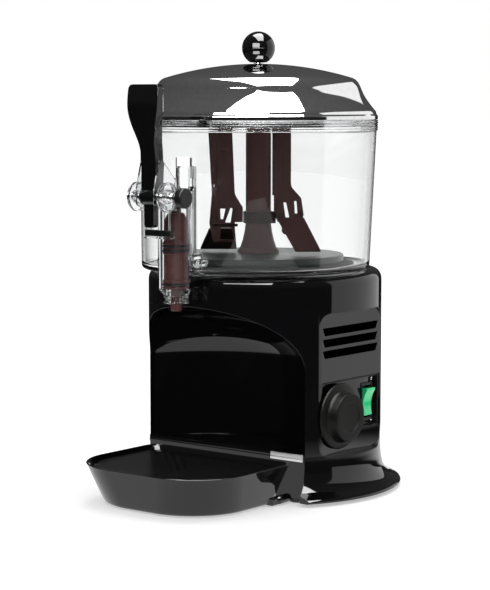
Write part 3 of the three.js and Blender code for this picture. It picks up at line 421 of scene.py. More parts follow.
show(casing, gloss_black, "base", "casing_black", "body_shell")

lip = rounded([(-57.4, 41.3, 0.3), (-55.4, 41.3, 0.3), (-55.4, 48.4, 0.6), (-57.2, 48.4, 0.6),
               (-57.2, 44.4, 0.2),
               (-57.4, 43.8, 0.2)], 4)
# The shelf lip is one gloss black strip. Its right end gets the bright satin metal as a painted highlight,
# in place of the reflection the black lip shows there.
show(slab("shelf_lip", lip, (-99, 60), "x"), gloss_black, "base", "chrome", "shelf_strip")
show(slab("shelf_lip_painted_highlight_end", lip, (60.1, 99), "x"), painted_highlight_metal, "base", "chrome", "shelf_strip")

# ---------------- controls
tub = slab("tub", rounded([(TUB_Y[0] - 1.4, TUB_Z[0] - 1.4, 1.6), (TUB_Y[1] + 1.4, TUB_Z[0] - 1.4, 1.6),
                           (TUB_Y[1] + 1.4, TUB_Z[1] + 1.4, 1.6), (TUB_Y[0] - 1.4, TUB_Z[1] + 1.4, 1.6)],
                           4),
           (TUB_FACE - 1.6, FLAT_X - 0.7), "x")
tub_inner = slab("tub_inner", rounded([(TUB_Y[0], TUB_Z[0], 0.8), (TUB_Y[1], TUB_Z[0], 0.8),
                                       (TUB_Y[1], TUB_Z[1], 0.8), (TUB_Y[0], TUB_Z[1], 0.8)], 4),
                 (TUB_FACE, FLAT_X + 2), "x")
switch_hole = slab("switch_hole", [(38.6, 73), (54.4, 73), (54.4, 107), (38.6, 107)],
                   (TUB_FACE - 5, TUB_FACE + 3), "x")
dial_hole = rod("dial_hole", 4, (TUB_FACE - 5, TUB_FACE + 3), "x", (DIAL_Y, DIAL_Z))
combine(tub, [tub_inner, switch_hole, dial_hole])
show(tub, satin_black, "base", "satin_black", "control_tub")

face_plate = slab("face_plate", rounded([(-34.4, 66.2, 1), (52.4, 66.2, 1), (52.4, 115.4, 1),
                                         (-34.4, 115.4, 1)], 3), (TUB_FACE + 0.05, TUB_FACE + 1.2), "x",
                                         0.2)
plate_holes = [rod("hole", 14, (TUB_FACE - 5, TUB_FACE + 3), "x", (DIAL_Y, DIAL_Z)),
               slab("hole", oblong((36.4, 52.6), (70.4, 109.6)), (TUB_FACE - 5, TUB_FACE + 3), "x")]
combine(face_plate, plate_holes)
show(face_plate, gloss_black, "base", "satin_black")

for i, height in enumerate((70.5, 99.5, 112.5)):
    screw = turned(f"screw_{i}", rounded([(0, TUB_FACE + 0.1, 0), (2.1, TUB_FACE + 0.1, 0.1),
                                          (2.1, TUB_FACE + 1.0, 0.5), (0, TUB_FACE + 1.5, 0)], 3),
                   (56.8, height), 32, "x")
    slot_cut = slab("slot", oblong((55, 58.6), (height - 0.25, height + 0.25)),
                    (TUB_FACE + 0.9, TUB_FACE + 3), "x")
    combine(screw, [slot_cut])
    show(screw, mirror_chrome, "base", "chrome")

DIAL_FACE = 124
dial = turned("dial", rounded([
    (0, 108.9, 0), (32.0, 108.9, 0.4), (33.3, 110.1, 0.6), (32.6, 112.0, 1.0), (28.6, 113.2, 1.2),
    (26.4, 113.6, 1.6), (25.0, 116.2, 2.0), (24.2, 122.8, 1.0), (22.8, DIAL_FACE, 1.2),
    (15.2, DIAL_FACE, 0.4), (14.6, 123.2, 0.4), (0, 123.0, 0)], 5), (DIAL_Y, DIAL_Z), 192, "x")
spindle = rod("spindle", 3.3, (107, 118.6), "x", (DIAL_Y, DIAL_Z), 32)
combine(dial, [spindle])
show(dial, dial_black, "dial", "satin_black", "thermostat_dial")
for k in range(11):
    angle = math.radians(-40 + 26 * k)
    spot = (DIAL_Y + 19 * math.cos(angle), DIAL_Z + 19 * math.sin(angle))
    size = 0.7 + 0.09 * k
    mark = turned(f"dial_mark_{k}", rounded([(0, DIAL_FACE - 0.3, 0), (size, DIAL_FACE - 0.3, 0),
                                             (size, DIAL_FACE - 0.02, 0.1), (0, DIAL_FACE - 0.01, 0)], 2),
                  spot, 16, "x")
    show(mark, mark_brown, "dial", "satin_black")



def around_switch(across, up, radius, steps):
    return oblong((SWITCH_Y - across, SWITCH_Y + across), (SWITCH_Z - up, SWITCH_Z + up), radius, steps)


switch = slab("switch_frame", around_switch(9.9, 19.4, 1.5, 4), (TUB_FACE + 0.35, TUB_FACE + 2), "x", 0.5)
switch_hole = slab("hole", around_switch(7.7, 16.4, 0.8, 3), (90, TUB_FACE + 5), "x")
combine(switch, [switch_hole])
show(switch, satin_black, "base", "satin_black", "switch_housing")

# ---------------- rocker and gland
def rocker_shape():
    crown = [(14.2, 7.9), (12.4, 8.4), (8, 6.1), (3, 4.3), (-2, 3.5), (-8, 3.6), (-13.4, 4.5), (-14.2, 4.0)]
    outline = [(-14.2, -3.3), (14.2, -3.3)] + smooth_through(crown, 5)
    return [(TUB_FACE - 1 + out, SWITCH_Z + up) for up, out in outline]


rocker = slab("rocker", rocker_shape(), (SWITCH_Y - 7.2, SWITCH_Y + 7.2), "y", 0.5, 3)
show(rocker, green_cap, "rocker", "green", "switch_rocker")

gland = turned("gland", rounded([(3.4, 117.5, 0), (6.9, 117.5, 0.4), (6.9, 131.6, 0), (9.9, 131.6, 0.3),
                                 (9.9, 135.2, 0.5), (7.6, 138.3, 1), (3.4, 138.3, 0.4)], 4), (0, 64), 96,
                                 "y")
sixteenths = [math.pi * k / 8 for k in range(16)]
grips = [rod("grip", 0.9, (133, 136), "y", (9.9 * math.cos(a), 64 + 9.9 * math.sin(a)), 16)
         for a in sixteenths]
combine(gland, grips)
show(gland, satin_black, "base", "satin_black", "cord_gland")

for i in range(1, 5):
    low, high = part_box(f"foot_{i}")
    spot = ((low[0] + high[0]) / 2 - AXIS_X, (low[1] + high[1]) / 2 - AXIS_Y)
    spot = (spot[0] / MM, spot[1] / MM)
    foot = turned(f"foot_pad_{i}", rounded([(0, 0.6, 0), (3, 0.6, 0.2), (3.6, 0, 0.2), (8.8, 0, 0.8),
                                            (9.9, 1.2, 0.5),
                                            (9.9, 3, 0.1), (0, 3, 0)], 3), spot, 64)
    show(foot, black_rubber, "base", "rubber", f"foot_{i}")

# ---------------- heating plate and seal
PLATE_R, PLATE_TOP = 87.5, 239.4
rings = []
for k in range(9):
    r = 84 - 8 * k
    rings += [(r, PLATE_TOP, 0.2), (r - 0.6, PLATE_TOP - 0.25, 0.2), (r - 1.2, PLATE_TOP, 0.2)]
plate = turned("hot_plate", rounded(
    [(10.8, PLATE_TOP - 2.5, 0), (85, PLATE_TOP - 2.5, 1), (85, 224.9, 1), (92.7, 224.9, 0.4),
     (92.7, 226.5, 0.4),
     (PLATE_R, 226.5, 0.8), (PLATE_R, PLATE_TOP, 1.6)] + rings + [(10.8, PLATE_TOP, 0)], 3))
show(plate, plate_steel, "base", "plate_steel", "heating_plate")

seal = turned("bowl_gasket", rounded([
    (88, 227.1, 0.3), (94.6, 227.1, 0.3), (94.6, 229.4, 0.2), (97.8, 229.4, 0.4), (97.8, 230.8, 0.5),
    (92.4, 231.6, 0.6), (90.4, 233.2, 0.6), (88, 233.3, 0.4)], 3))
show(seal, black_rubber, "vessel", "rubber", "bowl_seal")

post = turned("post", rounded([(6.6, 197, 0), (17.3, 197, 0.3), (17.3, 198, 0.3), (10.3, 198, 0.4),
                               (10.3, 290, 0.2),
                               (9.4, 291, 0.3), (9.4, 293, 0.3), (10.3, 294, 0.3), (10.3, 295.9, 0.5),
                               (6.6, 295.9, 0.3)], 3),
              segments=96)
show(post, plain_steel, "base", "steel", "centre_post")

# ---------------- stirrer
PARK = math.radians(37.86)


def parked(x, y):
    return x * math.cos(PARK) - y * math.sin(PARK), x * math.sin(PARK) + y * math.cos(PARK)


tube = turned("stirrer_tube_skin", rounded([
    (11.1, 240.4, 0), (21.8, 240.4, 0.6), (21.6, 242.2, 0.5), (18.6, 246, 2), (16.2, 253, 4),
    (14.2, 262, 6),
    (12.9, 272, 6), (12.9, 378.6, 0.4), (12.0, 379.9, 0.6), (10.2, 379.9, 0.4), (10.2, 320.2, 0.2),
    (7.6, 320.2, 0.2),
    (7.6, 301, 0.2), (11.1, 300.7, 0.2)], 5), segments=128)
show(tube, brown, "agitator", "brown", "stirrer_tube")

collar = turned("collar", rounded([(13.4, 271.1, 0.3), (15.5, 271.1, 0.6), (15.5, 283.4, 0.6),
                                   (13.4, 283.4, 0.3)], 3),
                segments=96)
lug = slab("lug", oblong((9.2, 17.8), (-8.8, -2.2)), (271.2, 283.3), "z", 0.5, turn=PARK)
bore = rod("bore", 13.4, (250, 300), "z", (0, 0), 96)
combine(collar, [lug], "UNION")
combine(collar, [bore])
show(collar, dark_brown, "agitator", "dark_brown", "stirrer_collar")

BLADE = 1.45


def blade(name, outline, windows, ribs):
    plate = slab(name, rounded(outline, 4), (-BLADE, BLADE), "y", 0.45, turn=PARK)
    tools = [slab("window", rounded(window, 3), (-10, 10), "y", turn=PARK) for window in windows]
    around = turned("around", [(0, 240), (24, 240), (24, 272), (15.9, 272), (15.9, 300), (0, 300)],
                    segments=96)
    combine(plate, tools + [around])
    bars = [slab("rib", rib, (-BLADE - 0.7, BLADE + 0.7), "y", 0.3, turn=PARK) for rib in ribs]
    if bars:
        combine(plate, bars, "UNION")
    return plate


outer = blade("outer_blade", [
    (-51.4, 371.9, 2), (-26.9, 371.9, 2), (-24, 301, 12), (-14.5, 285, 3), (-14.5, 262, 3), (-25, 251.7, 3),
    (-46.5, 250.7, 4), (-50.2, 271, 8), (-47.6, 301, 30)], [
    [(-28.4, 287, 0.6), (-26.4, 286, 0.6), (-28.4, 271.5, 0.6), (-34, 271.5, 0.6)],
    [(-39, 286, 0.6), (-33.6, 286, 0.6), (-36, 275, 0.6), (-38.6, 275, 0.6)],
    [(-38.5, 266, 1), (-27, 266, 1), (-25.6, 254, 1), (-39.2, 254, 1)]],
    [[(-44.6, 262), (-43.6, 262), (-41.6, 364), (-42.6, 364)]])
show(outer, brown, "agitator", "brown", "blade_outer")

inner = blade("inner_blade", [
    (14.2, 371.9, 1), (33.4, 371.9, 2), (33.4, 309, 10), (44, 297, 5), (46.6, 279, 4), (36, 262, 4),
    (26, 258, 4),
    (14.2, 285, 1)], [
    [(25.6, 292.5, 0.6), (28.4, 292.5, 0.6), (31.8, 276.5, 0.6), (28, 276.5, 0.6)],
    [(36.6, 294, 0.6), (39, 294, 0.6), (40, 281, 0.6), (37.4, 281, 0.6)]],
    [[(22.4, 300), (23.4, 300), (23.4, 364), (22.4, 364)]])
show(inner, brown, "agitator", "brown", "blade_inner")


def paddle(name, corners, thickness):
    """A slanted plate given by its corners in the stirrer's own parked frame."""
    a, b, c = (Vector(corner) for corner in corners[:3])
    push = (b - a).cross(c - a).normalized() * thickness
    bm = bmesh.new()
    rings = [[bm.verts.new(place(*parked(p.x, p.y), p.z))
              for p in (Vector(corner) + push * share for corner in corners)] for share in (0.02, 0.98)]
    bm.faces.new(rings[0])
    bm.faces.new(rings[1])
    for k in range(len(corners)):
        n = (k + 1) % len(corners)
        bm.faces.new([rings[0][k], rings[0][n], rings[1][n], rings[1][k]])
    bmesh.ops.recalc_face_normals(bm, faces=bm.faces)
    bmesh.ops.bevel(bm, geom=list(bm.edges), offset=0.5 * MM, segments=3, affect="EDGES",
                    clamp_overlap=True)
    return finish_mesh(name, bm)


show(paddle("outer_paddle", [(-50.5, 2.2, 264), (-24, 2.2, 264), (-22.5, 26, 241.5), (-60.5, 26, 241.5)],
            2.6),
     dark_brown, "agitator", "dark_brown", "paddle_outer")
show(paddle("inner_paddle", [(18.5, -2.2, 276), (46.5, -2.2, 276), (63.5, -24, 242.5), (37.5, -24, 242.5)],
            -2.6),
     brown, "agitator", "brown", "paddle_inner")
tie = slab("tie", oblong((-46.3, -21), (267.6, 270.4)), (-3.7, -1.9), "y", 0.4, turn=PARK)
show(tie, dark_brown, "agitator", "dark_brown", "paddle_tie")

# ---------------- bowl
RIM_R, LEAN = 121.7, 0.0336
grooves = []
for height in (366.2, 368.6, 371.0, 373.4):
    grooves += [(RIM_R, height, 0.3), (RIM_R - 0.7, height + 0.5, 0.3), (RIM_R - 0.7, height + 0.9, 0.3),
                (RIM_R, height + 1.4, 0.3)]
bowl_skin = turned("clear_bowl_skin", rounded(
    [(96, 225.1, 0.4), (108, 225.1, 1), (116.4, 225.6, 9), (120.4, 364.6, 0.6),
     (RIM_R, 365.4, 0.4)] + grooves
    + [(RIM_R, 375.5, 0.5), (117.3, 375.5, 0.5), (117.2, 364.6, 1), (113.2, 229.2, 6), (104, 229.0, 1),
       (96, 229.0, 0.4)], 5), segments=256, lean=LEAN, lean_from=365)
TAP_Y, PIPE_Y = -130.6, -114.3
PIN_Z = 303.5
tap_path = rod("tap_path", 17.9, (200, 320), "z", (0, TAP_Y), 96)
pipe_path = rod("pipe_path", 10.4, (200, 340), "z", (0, PIPE_Y), 96)
combine(bowl_skin, [tap_path, pipe_path], smooth=30)
show(bowl_skin, clear_bowl, "vessel", "clear_plastic", "bowl")

# ---------------- valve cylinder
valve = turned("valve_cylinder", rounded([
    (7.2, 206.8, 0.3), (12.7, 206.8, 0.5), (17.6, 212.4, 2), (17.6, 308.6, 0.6), (13.6, 308.6, 0.4),
    (13.6, 213.2, 0.5), (7.2, 213.2, 0.4)], 5), (0, TAP_Y), 128)
pipe = turned("vent_pipe", rounded([(0, 227.2, 0), (10.1, 227.2, 1.5), (10.1, 331.6, 0.6),
                                    (7.0, 331.6, 0.5),
                                    (7.0, 312, 0.5), (4.4, 308, 0.5), (4.4, 250, 0.5), (0, 246, 0)], 4),
                                    (0, PIPE_Y), 96)
duct = box("duct", (-12.8, 12.8), (TAP_Y + 1, -104), (225.2, 246.8), 2.5)
arms = [rod("arm", 4.4, (TAP_Y + 3, -112), "y", (side * 23, 238), 48, 1) for side in (-1, 1)]
web = box("web", (-23, 23), (TAP_Y + 6.2, TAP_Y + 9.8), (235.2, 240.8), 1)
ledge = box("ledge", (-20, 20), (TAP_Y + 9, -106), (225.3, 228.6), 0.8)
combine(valve, [pipe, duct, web, ledge] + arms, "UNION")
valve_bore = turned("valve_bore", [(0, 213.2), (13.6, 213.2), (13.6, 330), (0, 330)], (0, TAP_Y), 96)
port = rod("port", 8.6, (TAP_Y, -98), "y", (0, 237.2), 64, 0.5)
lever_gap = box("lever_gap", (-10, 10), (TAP_Y - 25, TAP_Y - 5), (295.9, 312), 1)
floor_way = turned("floor_way", [(0, 220), (96, 220), (96, 234), (0, 234)], segments=128)
combine(valve, [valve_bore, port, lever_gap, floor_way], smooth=30)
show(valve, clear_tap, "vessel", "clear_plastic", "bowl")

nozzle = turned("nozzle", rounded([
    (6.4, 198.6, 0.3), (13.0, 198.6, 0.5), (13.0, 200.4, 0.5), (9.7, 200.9, 0.4), (9.7, 204, 0.4),
    (12.6, 204.4, 0.5),
    (12.6, 206.1, 0.5), (6.4, 206.1, 0.3)], 4), (0, TAP_Y), 96)
show(nozzle, clear_trim, "vessel", "clear_plastic", "outlet_nozzle")
for k in range(6):
    angle = 2 * math.pi * (k + 0.5) / 6
    rib = slab(f"nozzle_rib_{k}", oblong((9.6, 12.3), (-0.7, 0.7)), (200.6, 204.2), "z", 0.2, turn=angle)
    rib.data.transform(Matrix.Translation((0, TAP_Y * MM, 0)))
    show(rib, clear_trim, "vessel", "clear_plastic")

# ---------------- piston
piston = turned("piston_skin", rounded([
    (0, 190.7, 0), (4.4, 190.7, 0.8), (5.5, 192, 1), (5.5, 213.5, 0.6), (12.8, 213.5, 0.5),
    (12.8, 215.6, 0.2),
    (10.5, 215.6, 0.2), (10.5, 218.8, 0.2), (12.8, 218.8, 0.2), (12.8, 221.3, 0.4), (11.9, 222.3, 0.4),
    (11.9, 246.5, 0.4),
    (12.8, 247.4, 0.4), (12.8, 248.6, 0.2), (10.5, 248.6, 0.2), (10.5, 251.8, 0.2), (12.8, 251.8, 0.2),
    (12.8, 253, 0.2), (10.5, 253, 0.2), (10.5, 256.2, 0.2), (12.8, 256.2, 0.2), (12.8, 258, 0.5),
    (11.9, 259.2, 0.5),
    (11.4, 280, 1), (8, 286, 1.5), (4.4, 287, 0.8), (4.4, 308.4, 0.8), (0, 308.4, 0)], 4), (0, TAP_Y), 128)
pin_way = rod("pin_way", 2.3, (-12, 12), "x", (TAP_Y, PIN_Z), 32)
combine(piston, [pin_way])
show(piston, piston_brown, "valve", "brown", "piston")
for name, height in (("piston_ring_low", 217.2), ("piston_ring_1", 250.2), ("piston_ring_2", 254.6)):
    loop = [(12.05 + 1.25 * math.cos(a), height + 1.25 * math.sin(a)) for a in sixteenths]
    show(turned(name + "_skin", loop, (0, TAP_Y), 96), black_rubber, "valve", "rubber", name)
show(rod("pin", 1.95, (-9.5, 9.5), "x", (TAP_Y, PIN_Z), 32, 0.4), plain_steel, "valve", "steel",
     "piston_pin")

# ---------------- lever and its bracket
AXLE_Y, AXLE_Z = -166, PIN_Z


def lever_skin():
    def at(points):
        return [(u, AXLE_Z + v) for u, v in points]
    side = smooth_through([(9.1, 30), (9.2, 46), (10.6, 55), (14.6, 68), (18.2, 82), (18.9, 94)], 8)
    top = rounded([(18.9, 96, 0), (18.8, 107.2, 9), (-18.8, 107.2, 9), (-18.9, 96, 0)], 12, closed=False)
    front = [(-8.9, -4), (8.9, -4)] + side + top + [(-u, v) for u, v in reversed(side)]
    face = slab("face", at(front), (AXLE_Y - 30, AXLE_Y + 30), "y")
    back = smooth_through([(6.4, 34), (5.6, 46), (1.6, 60), (-2.4, 72), (-4.4, 86), (-4.6, 98),
                           (-4.2, 107.3)], 8)
    nose = smooth_through([(-11.2, 107.3), (-12.8, 97), (-13.6, 86), (-12.8, 72), (-9.6, 58), (-6, 44),
                           (-4.6, 30)], 8)
    outline = [(-5.4, -6), (5.4, -6)] + back + nose
    thick = slab("thick", [(AXLE_Y + u, AXLE_Z + v) for u, v in outline], (-19.2, 19.2), "x", 2.2, 4)
    combine(face, [thick], "INTERSECT", smooth=40)
    hub = rod("hub", 8.4, (-9.3, 9.3), "x", (AXLE_Y, AXLE_Z), 96, 0.6)
    tongue = slab("tongue", rounded([(-5.9, 274.1, 4), (5.9, 274.1, 4), (5.9, 305, 0), (-5.9, 305, 0)], 8),
                  (AXLE_Y - 4.9, AXLE_Y + 2.9), "y", 0.8)
    tines = [box("tine", x, (AXLE_Y, AXLE_Y + 40.8), (AXLE_Z - 4.3, AXLE_Z + 4.3), 0.6)
             for x in ((6.1, 8.9), (-8.9, -6.1))]
    combine(face, [hub, tongue] + tines, "UNION", smooth=40)
    slot_way = box("slot_way", (-20, 20), (TAP_Y - 2.8, TAP_Y + 12), (AXLE_Z - 2.7, AXLE_Z + 2.7))
    bore = rod("bore", 3.3, (-20, 20), "x", (AXLE_Y, AXLE_Z), 48)
    return combine(face, [slot_way, bore], smooth=40)


show(lever_skin(), gloss_black, "handle", "casing_black", "lever")

cheek = [(AXLE_Y + 33.4, 291, 1), (AXLE_Y + 33.4, 307, 1), (AXLE_Y + 2.2, 338.6, 1.5),
         (AXLE_Y - 2, 338.6, 1.5),
         (AXLE_Y - 9.8, 312, 4), (AXLE_Y - 9.8, 296, 4), (AXLE_Y + 5.6, 289.7, 3),
         (AXLE_Y + 21.6, 289.7, 1)]
bracket = slab("bracket", rounded(cheek, 6), (10.3, 12.3), "x", 0.4)
other = slab("other", rounded(cheek, 6), (-12.3, -10.3), "x", 0.4)
band = turned("band", rounded([(18.1, 291.2, 0.3), (20.2, 291.2, 0.4), (20.2, 308.6, 0.4),
                               (18.1, 308.6, 0.3)], 3),
              (0, TAP_Y), 96)
half = box("half", (-40, 40), (TAP_Y - 60, TAP_Y + 2.4), (280, 320))
combine(band, [half], "INTERSECT")
rods = [box("rod", x, (TAP_Y - 23.2, TAP_Y - 21.2), (262.8, 291.5), 0.5)
        for x in ((10.4, 12.2), (-12.2, -10.4))]
holder = [box("holder", (-16.8, 16.8), (TAP_Y - 27.8, TAP_Y - 21.2), (262.8, 264.4), 0.4),
          box("holder_back", (-16.8, 16.8), (TAP_Y - 23.2, TAP_Y - 21.2), (263.4, 270.8), 0.4)]
combine(bracket, [other, band] + rods + holder, "UNION")
ways = [rod("way", 17.95, (280, 320), "z", (0, TAP_Y), 96),
        box("way", (-10, 10), (TAP_Y - 45, TAP_Y - 5), (280, 320)),
        rod("way", 3.3, (-30, 30), "x", (AXLE_Y, AXLE_Z), 48),
        rod("way", 10.4, (280, 320), "z", (0, PIPE_Y), 64)]
combine(bracket, ways)
show(bracket, clear_trim, "vessel", "clear_plastic", "lever_bracket")
bumper = slab("bumper", oblong((TAP_Y - 27.7, TAP_Y - 23.9), (265.1, 271.3), 1.4, 5), (-15.9, 15.9), "x",
              0.5)
show(bumper, satin_black, "vessel", "satin_black", "stop_bar")


def on_axle(name, corners, material, slot_name, node, edge_steps=4):
    """A piece turned about the lever's axle, from (x, radius, rounding) corners."""
    profile = rounded([(r, x, e) for x, r, e in corners], edge_steps)
    show(turned(name, profile, (AXLE_Y, AXLE_Z), 96, "x"), material, "axle", slot_name, node)


on_axle("pin_skin", [(-25, 0, 0), (-25, 2.9, 0.4), (41, 2.9, 0.4), (41, 0, 0)], plain_steel, "steel",
        "axle_pin")
for x, node in ((-17.6, "wheel_left"), (19.6, "wheel_right")):
    on_axle(node + "_skin", [(x - 1.9, 3.4, 0.2), (x - 1.9, 5.2, 0.2), (x - 1.2, 6.0, 0.4),
                             (x - 1.2, 12.4, 0.4),
                             (x - 1.9, 13.2, 0.5), (x - 1.9, 14.3, 0.5), (x + 1.9, 14.3, 0.5),
                             (x + 1.9, 13.2, 0.5),
                             (x + 1.2, 12.4, 0.4), (x + 1.2, 6.0, 0.4), (x + 1.9, 5.2, 0.2),
                             (x + 1.9, 3.4, 0.2)],
            clear_trim, "clear_plastic", node)
on_axle("hub_left_skin", [(-23.9, 3.4, 0.2), (-23.9, 5.2, 0.6), (-22.6, 6.1, 0.5), (-21.6, 5.2, 0.3),
                          (-20.9, 6.1, 0.5),
                          (-20.0, 6.1, 0.3), (-20.0, 3.4, 0.2)], mirror_chrome, "chrome", "hub_left")
on_axle("hub_right_skin", [(12.8, 3.4, 0.2), (12.8, 6.5, 0.4), (14.4, 6.5, 0.4), (14.9, 5.6, 0.3),
                           (15.6, 5.6, 0.3),
                           (16.0, 6.5, 0.4), (17.2, 6.5, 0.4), (17.2, 3.4, 0.2)], mirror_chrome, "chrome",
                           "hub_right")
on_axle("spacer_left_skin", [(-15.2, 3.4, 0.2), (-15.2, 5.3, 0.4), (-12.8, 5.3, 0.4), (-12.8, 3.4, 0.2)],
        mirror_chrome, "chrome", "spacer_left")
on_axle("spacer_right_skin", [(22.0, 3.4, 0.2), (22.0, 4.5, 0.3), (26.4, 4.5, 0.3), (26.9, 3.8, 0.3),
                              (28.2, 3.8, 0.3),
                              (28.7, 4.5, 0.3), (33.9, 4.5, 0.3), (33.9, 3.4, 0.2)], mirror_chrome,
                              "chrome", "spacer_right")
on_axle("axle_knob_skin", [(34.5, 3.4, 0.2), (34.5, 8.4, 0.8), (36.2, 9.7, 0.8), (42.4, 9.7, 0.9),
                           (43.3, 8.6, 0.8),
                           (43.3, 0, 0), (41.3, 0, 0), (41.3, 3.4, 0)], satin_black, "satin_black",
                           "axle_knob")

# ---------------- lid
LID_APEX, LID_EDGE = 432.2, (95.7, 417.9)
rise = LID_APEX - LID_EDGE[1]
sphere = (LID_EDGE[0] ** 2 + rise ** 2) / (2 * rise)


def dome(inset, inner_r):
    return [(r, LID_APEX - inset - sphere + math.sqrt(sphere ** 2 - r ** 2))
            for r in (LID_EDGE[0] - (LID_EDGE[0] - inner_r) * k / 40 for k in range(41))]


def skirt(inset):
    curve = [(119.6, 384.2), (115.6, 389.0), (111.2, 394.8), (107.6, 400.4), (105.2, 405.4), (103.2, 410.2),
             (101.0, 413.8), (98.6, 416.4)]
    return [(r - inset, z - inset * 0.3) for r, z in smooth_through(curve, 5)]


lid_rim = rounded([(119, 376.1, 0), (121.6, 376.1, 0.6), (121.6, 379.8, 1.2), (120.2, 381.6, 0.8),
                   (119.6, 384.2, 0)],
                  5, closed=False)
lid_inside = [(116.6, 380.5), (116.6, 368.2), (115.0, 368.2), (115.0, 377.3), (119, 377.3)]
lid_outside = lid_rim[:-1] + skirt(0) + dome(0, 2.9)
lid_under = dome(1.7, 2.9)[::-1] + skirt(1.7)[::-1] + lid_inside
lid = turned("lid_skin", lid_outside + lid_under, segments=256)
show(lid, mirror_chrome, "lid", "chrome", "lid_shell")

KNOB_R, KNOB_Z = 16.7, 448.2
ball = [(0, 433.4)] + [(KNOB_R * math.cos(a) - (0.35 if abs(a + 0.02) < 0.012 else 0),
                        KNOB_Z + KNOB_R * math.sin(a))
                       for a in (-1.06 + (1.06 + math.pi / 2) * k / 160
                                 for k in range(160))] + [(0, KNOB_Z + KNOB_R)]
knob = turned("knob_ball", ball, segments=128)
knob_way = rod("knob_way", 2.8, (430, 446), "z", (0, 0), 32)
combine(knob, [knob_way], smooth=50)
show(knob, gloss_black, "lid", "casing_black", "lid_knob")
collar_ring = turned("knob_collar", rounded([(2.9, 432.5, 0), (5, 432.5, 0.1), (5, 433.1, 0.2),
                                             (2.9, 433.1, 0)], 3),
                     segments=64)
show(collar_ring, mirror_chrome, "lid", "chrome", "knob_washer")

# ---------------- drip tray
TRAY_RIM, TRAY_HALF, TRAY_FRONT, TRAY_BACK = 40.2, 91.6, -199.4, -58


def tray_outline(inset):
    half, front, back = TRAY_HALF - inset, TRAY_FRONT + inset, TRAY_BACK - inset
    corners = [(half - 14, back - 14, 14, 0, 10), (14 - half, back - 14, 14, 1, 10),
               (60 - half, front + 60, 60, 2, 32), (half - 60, front + 60, 60, 3, 32)]
    return [(x + r * math.cos(a), y + r * math.sin(a))
            for x, y, r, quarter, steps in corners
            for a in ((quarter + k / steps) * math.pi / 2 for k in range(steps + 1))]


def lean_in(z):
    return 12.5 * (TRAY_RIM - z) / (TRAY_RIM - 1)


outside = [(lean_in(1) + 3, 1.0), (lean_in(1) + 1.1, 1.25), (lean_in(2.4) + 0.2, 2.4)]
outside += [(lean_in(z), z) for z in (4, 10, 18, 26, 34, 38.6)] + [(0.1, 39.6), (0.5, 40.1), (1.0, 40.2)]
inside = [(1.6, 40.1), (1.9, 39.7)] + [(lean_in(z) + 2.0, z) for z in (38, 30, 20, 12, 6)]
inside += [(lean_in(4.2) + 2.6, 4.2), (lean_in(3.2) + 4.4, 3.3)]
tray = loft("tray_skin", [(tray_outline(inset), z) for inset, z in outside + inside])
quarters = [math.pi / 2 * k / 8 for k in range(9)]
for side in (-1, 1):
    stub = box("stub", sorted((side * 76.2, side * 85.8)), (-87.8, -72.2), (1.1, 8.1), 0.8)
    back_end = [(4.5 * math.sin(a), -75.5 - 4.5 * math.cos(a)) for a in quarters[1:]]
    front_end = [(4.5 * math.cos(a), -62.5 + 4.5 * math.sin(a)) for a in quarters[:-1]]
    runner = turned("runner", [(0, -80)] + back_end + front_end + [(0, -58)], (side * 84.5, 5.2), 48, "y")
    core = loft("core", [(tray_outline(lean_in(z) + 2.0), z) for z in (3.3, 20, 38)])
    combine(stub, [core])
    combine(tray, [stub, runner], "UNION")
tray.visible_glossy = False
show(tray, gloss_black, "tray", "casing_black", "drip_tray")

grid_edge = lean_in(33.5) + 3.5
grid = loft("grid_skin", [(tray_outline(grid_edge + inset), z)
                          for inset, z in ((0.5, 33.6), (0.1, 33.9), (0.1, 35.0), (0.5, 35.4), (3.2, 35.4),
                                           (3.7, 34.7), (4.2, 34.7))])
holes = []
for row in range(11):
    y = -184 + row * 11
    count = (9, 11, 12, 13, 14, 14, 14, 14, 14, 14, 14)[row]
    holes += [slab("hole", circle(2.0, 12, ((k - (count - 1) / 2) * 11, y)), (33, 36), "z")
              for k in range(count)]
drill = bmesh.new()
for hole in holes:
    drill.from_mesh(hole.data)
    bpy.data.objects.remove(hole)
drills = finish_mesh("drills", drill)
combine(grid, [drills])
legs = [rod("leg", 3.9, (3.6, 34.2), "z", spot, 24)
        for spot in ((-42, -160), (42, -160), (-60, -85), (60, -85))]
combine(grid, legs, "UNION")
grid.visible_glossy = False
show(grid, grid_black, "grid", "satin_black", "drip_grid")

# ---------------- hidden CAD pieces
finishes = {"satin_black": satin_black, "steel": plain_steel, "zinc": cast_zinc, "copper": copper,
            "acetal": white_gear,
            "rubber": black_rubber, "chrome": mirror_chrome, "casing_black": gloss_black,
            "plate_steel": plate_steel,
            "brown": brown, "dark_brown": dark_brown, "green": green_cap, "clear_plastic": clear_trim}
slot_of = {part["node"]: part["material_slot"] for part in frame["record"]["subparts"]}
for name, node in frame["nodes"].items():
    node.data.materials.clear()
    node.data.materials.append(finishes[slot_of[name]])

# ---------------- studio
AZIMUTH = math.radians(37.86)
DISTANCE, EYE_Z = 2001.32, 398.61
PITCH, YAW = 5.78, 0.39
FOCAL = 119.33
scene = bpy.context.scene


def toward(azimuth, elevation, distance, centre=(0, 0, 220)):
    """A point seen from the object's centre, with azimuth counted from the camera's side."""
    a, e = AZIMUTH + math.radians(azimuth), math.radians(elevation)
    return place(centre[0] + distance * math.sin(a) * math.cos(e),
                 centre[1] - distance * math.cos(a) * math.cos(e),
                 centre[2] + distance * math.sin(e))


def card(name, azimuth, elevation, distance, width, height, strength, aim=(0, 0, 220)):
    """A softbox facing the object."""
    light = bpy.data.lights.new(name, "AREA")
    light.shape = "RECTANGLE"
    light.size, light.size_y = width, height
    light.energy = strength * width * height * math.pi
    holder = bpy.data.objects.new(name, light)
    holder.location = toward(azimuth, elevation, distance, aim)
    holder.rotation_euler = (place(*aim) - holder.location).to_track_quat("-Z", "Y").to_euler()
    scene.collection.objects.link(holder)
    return holder


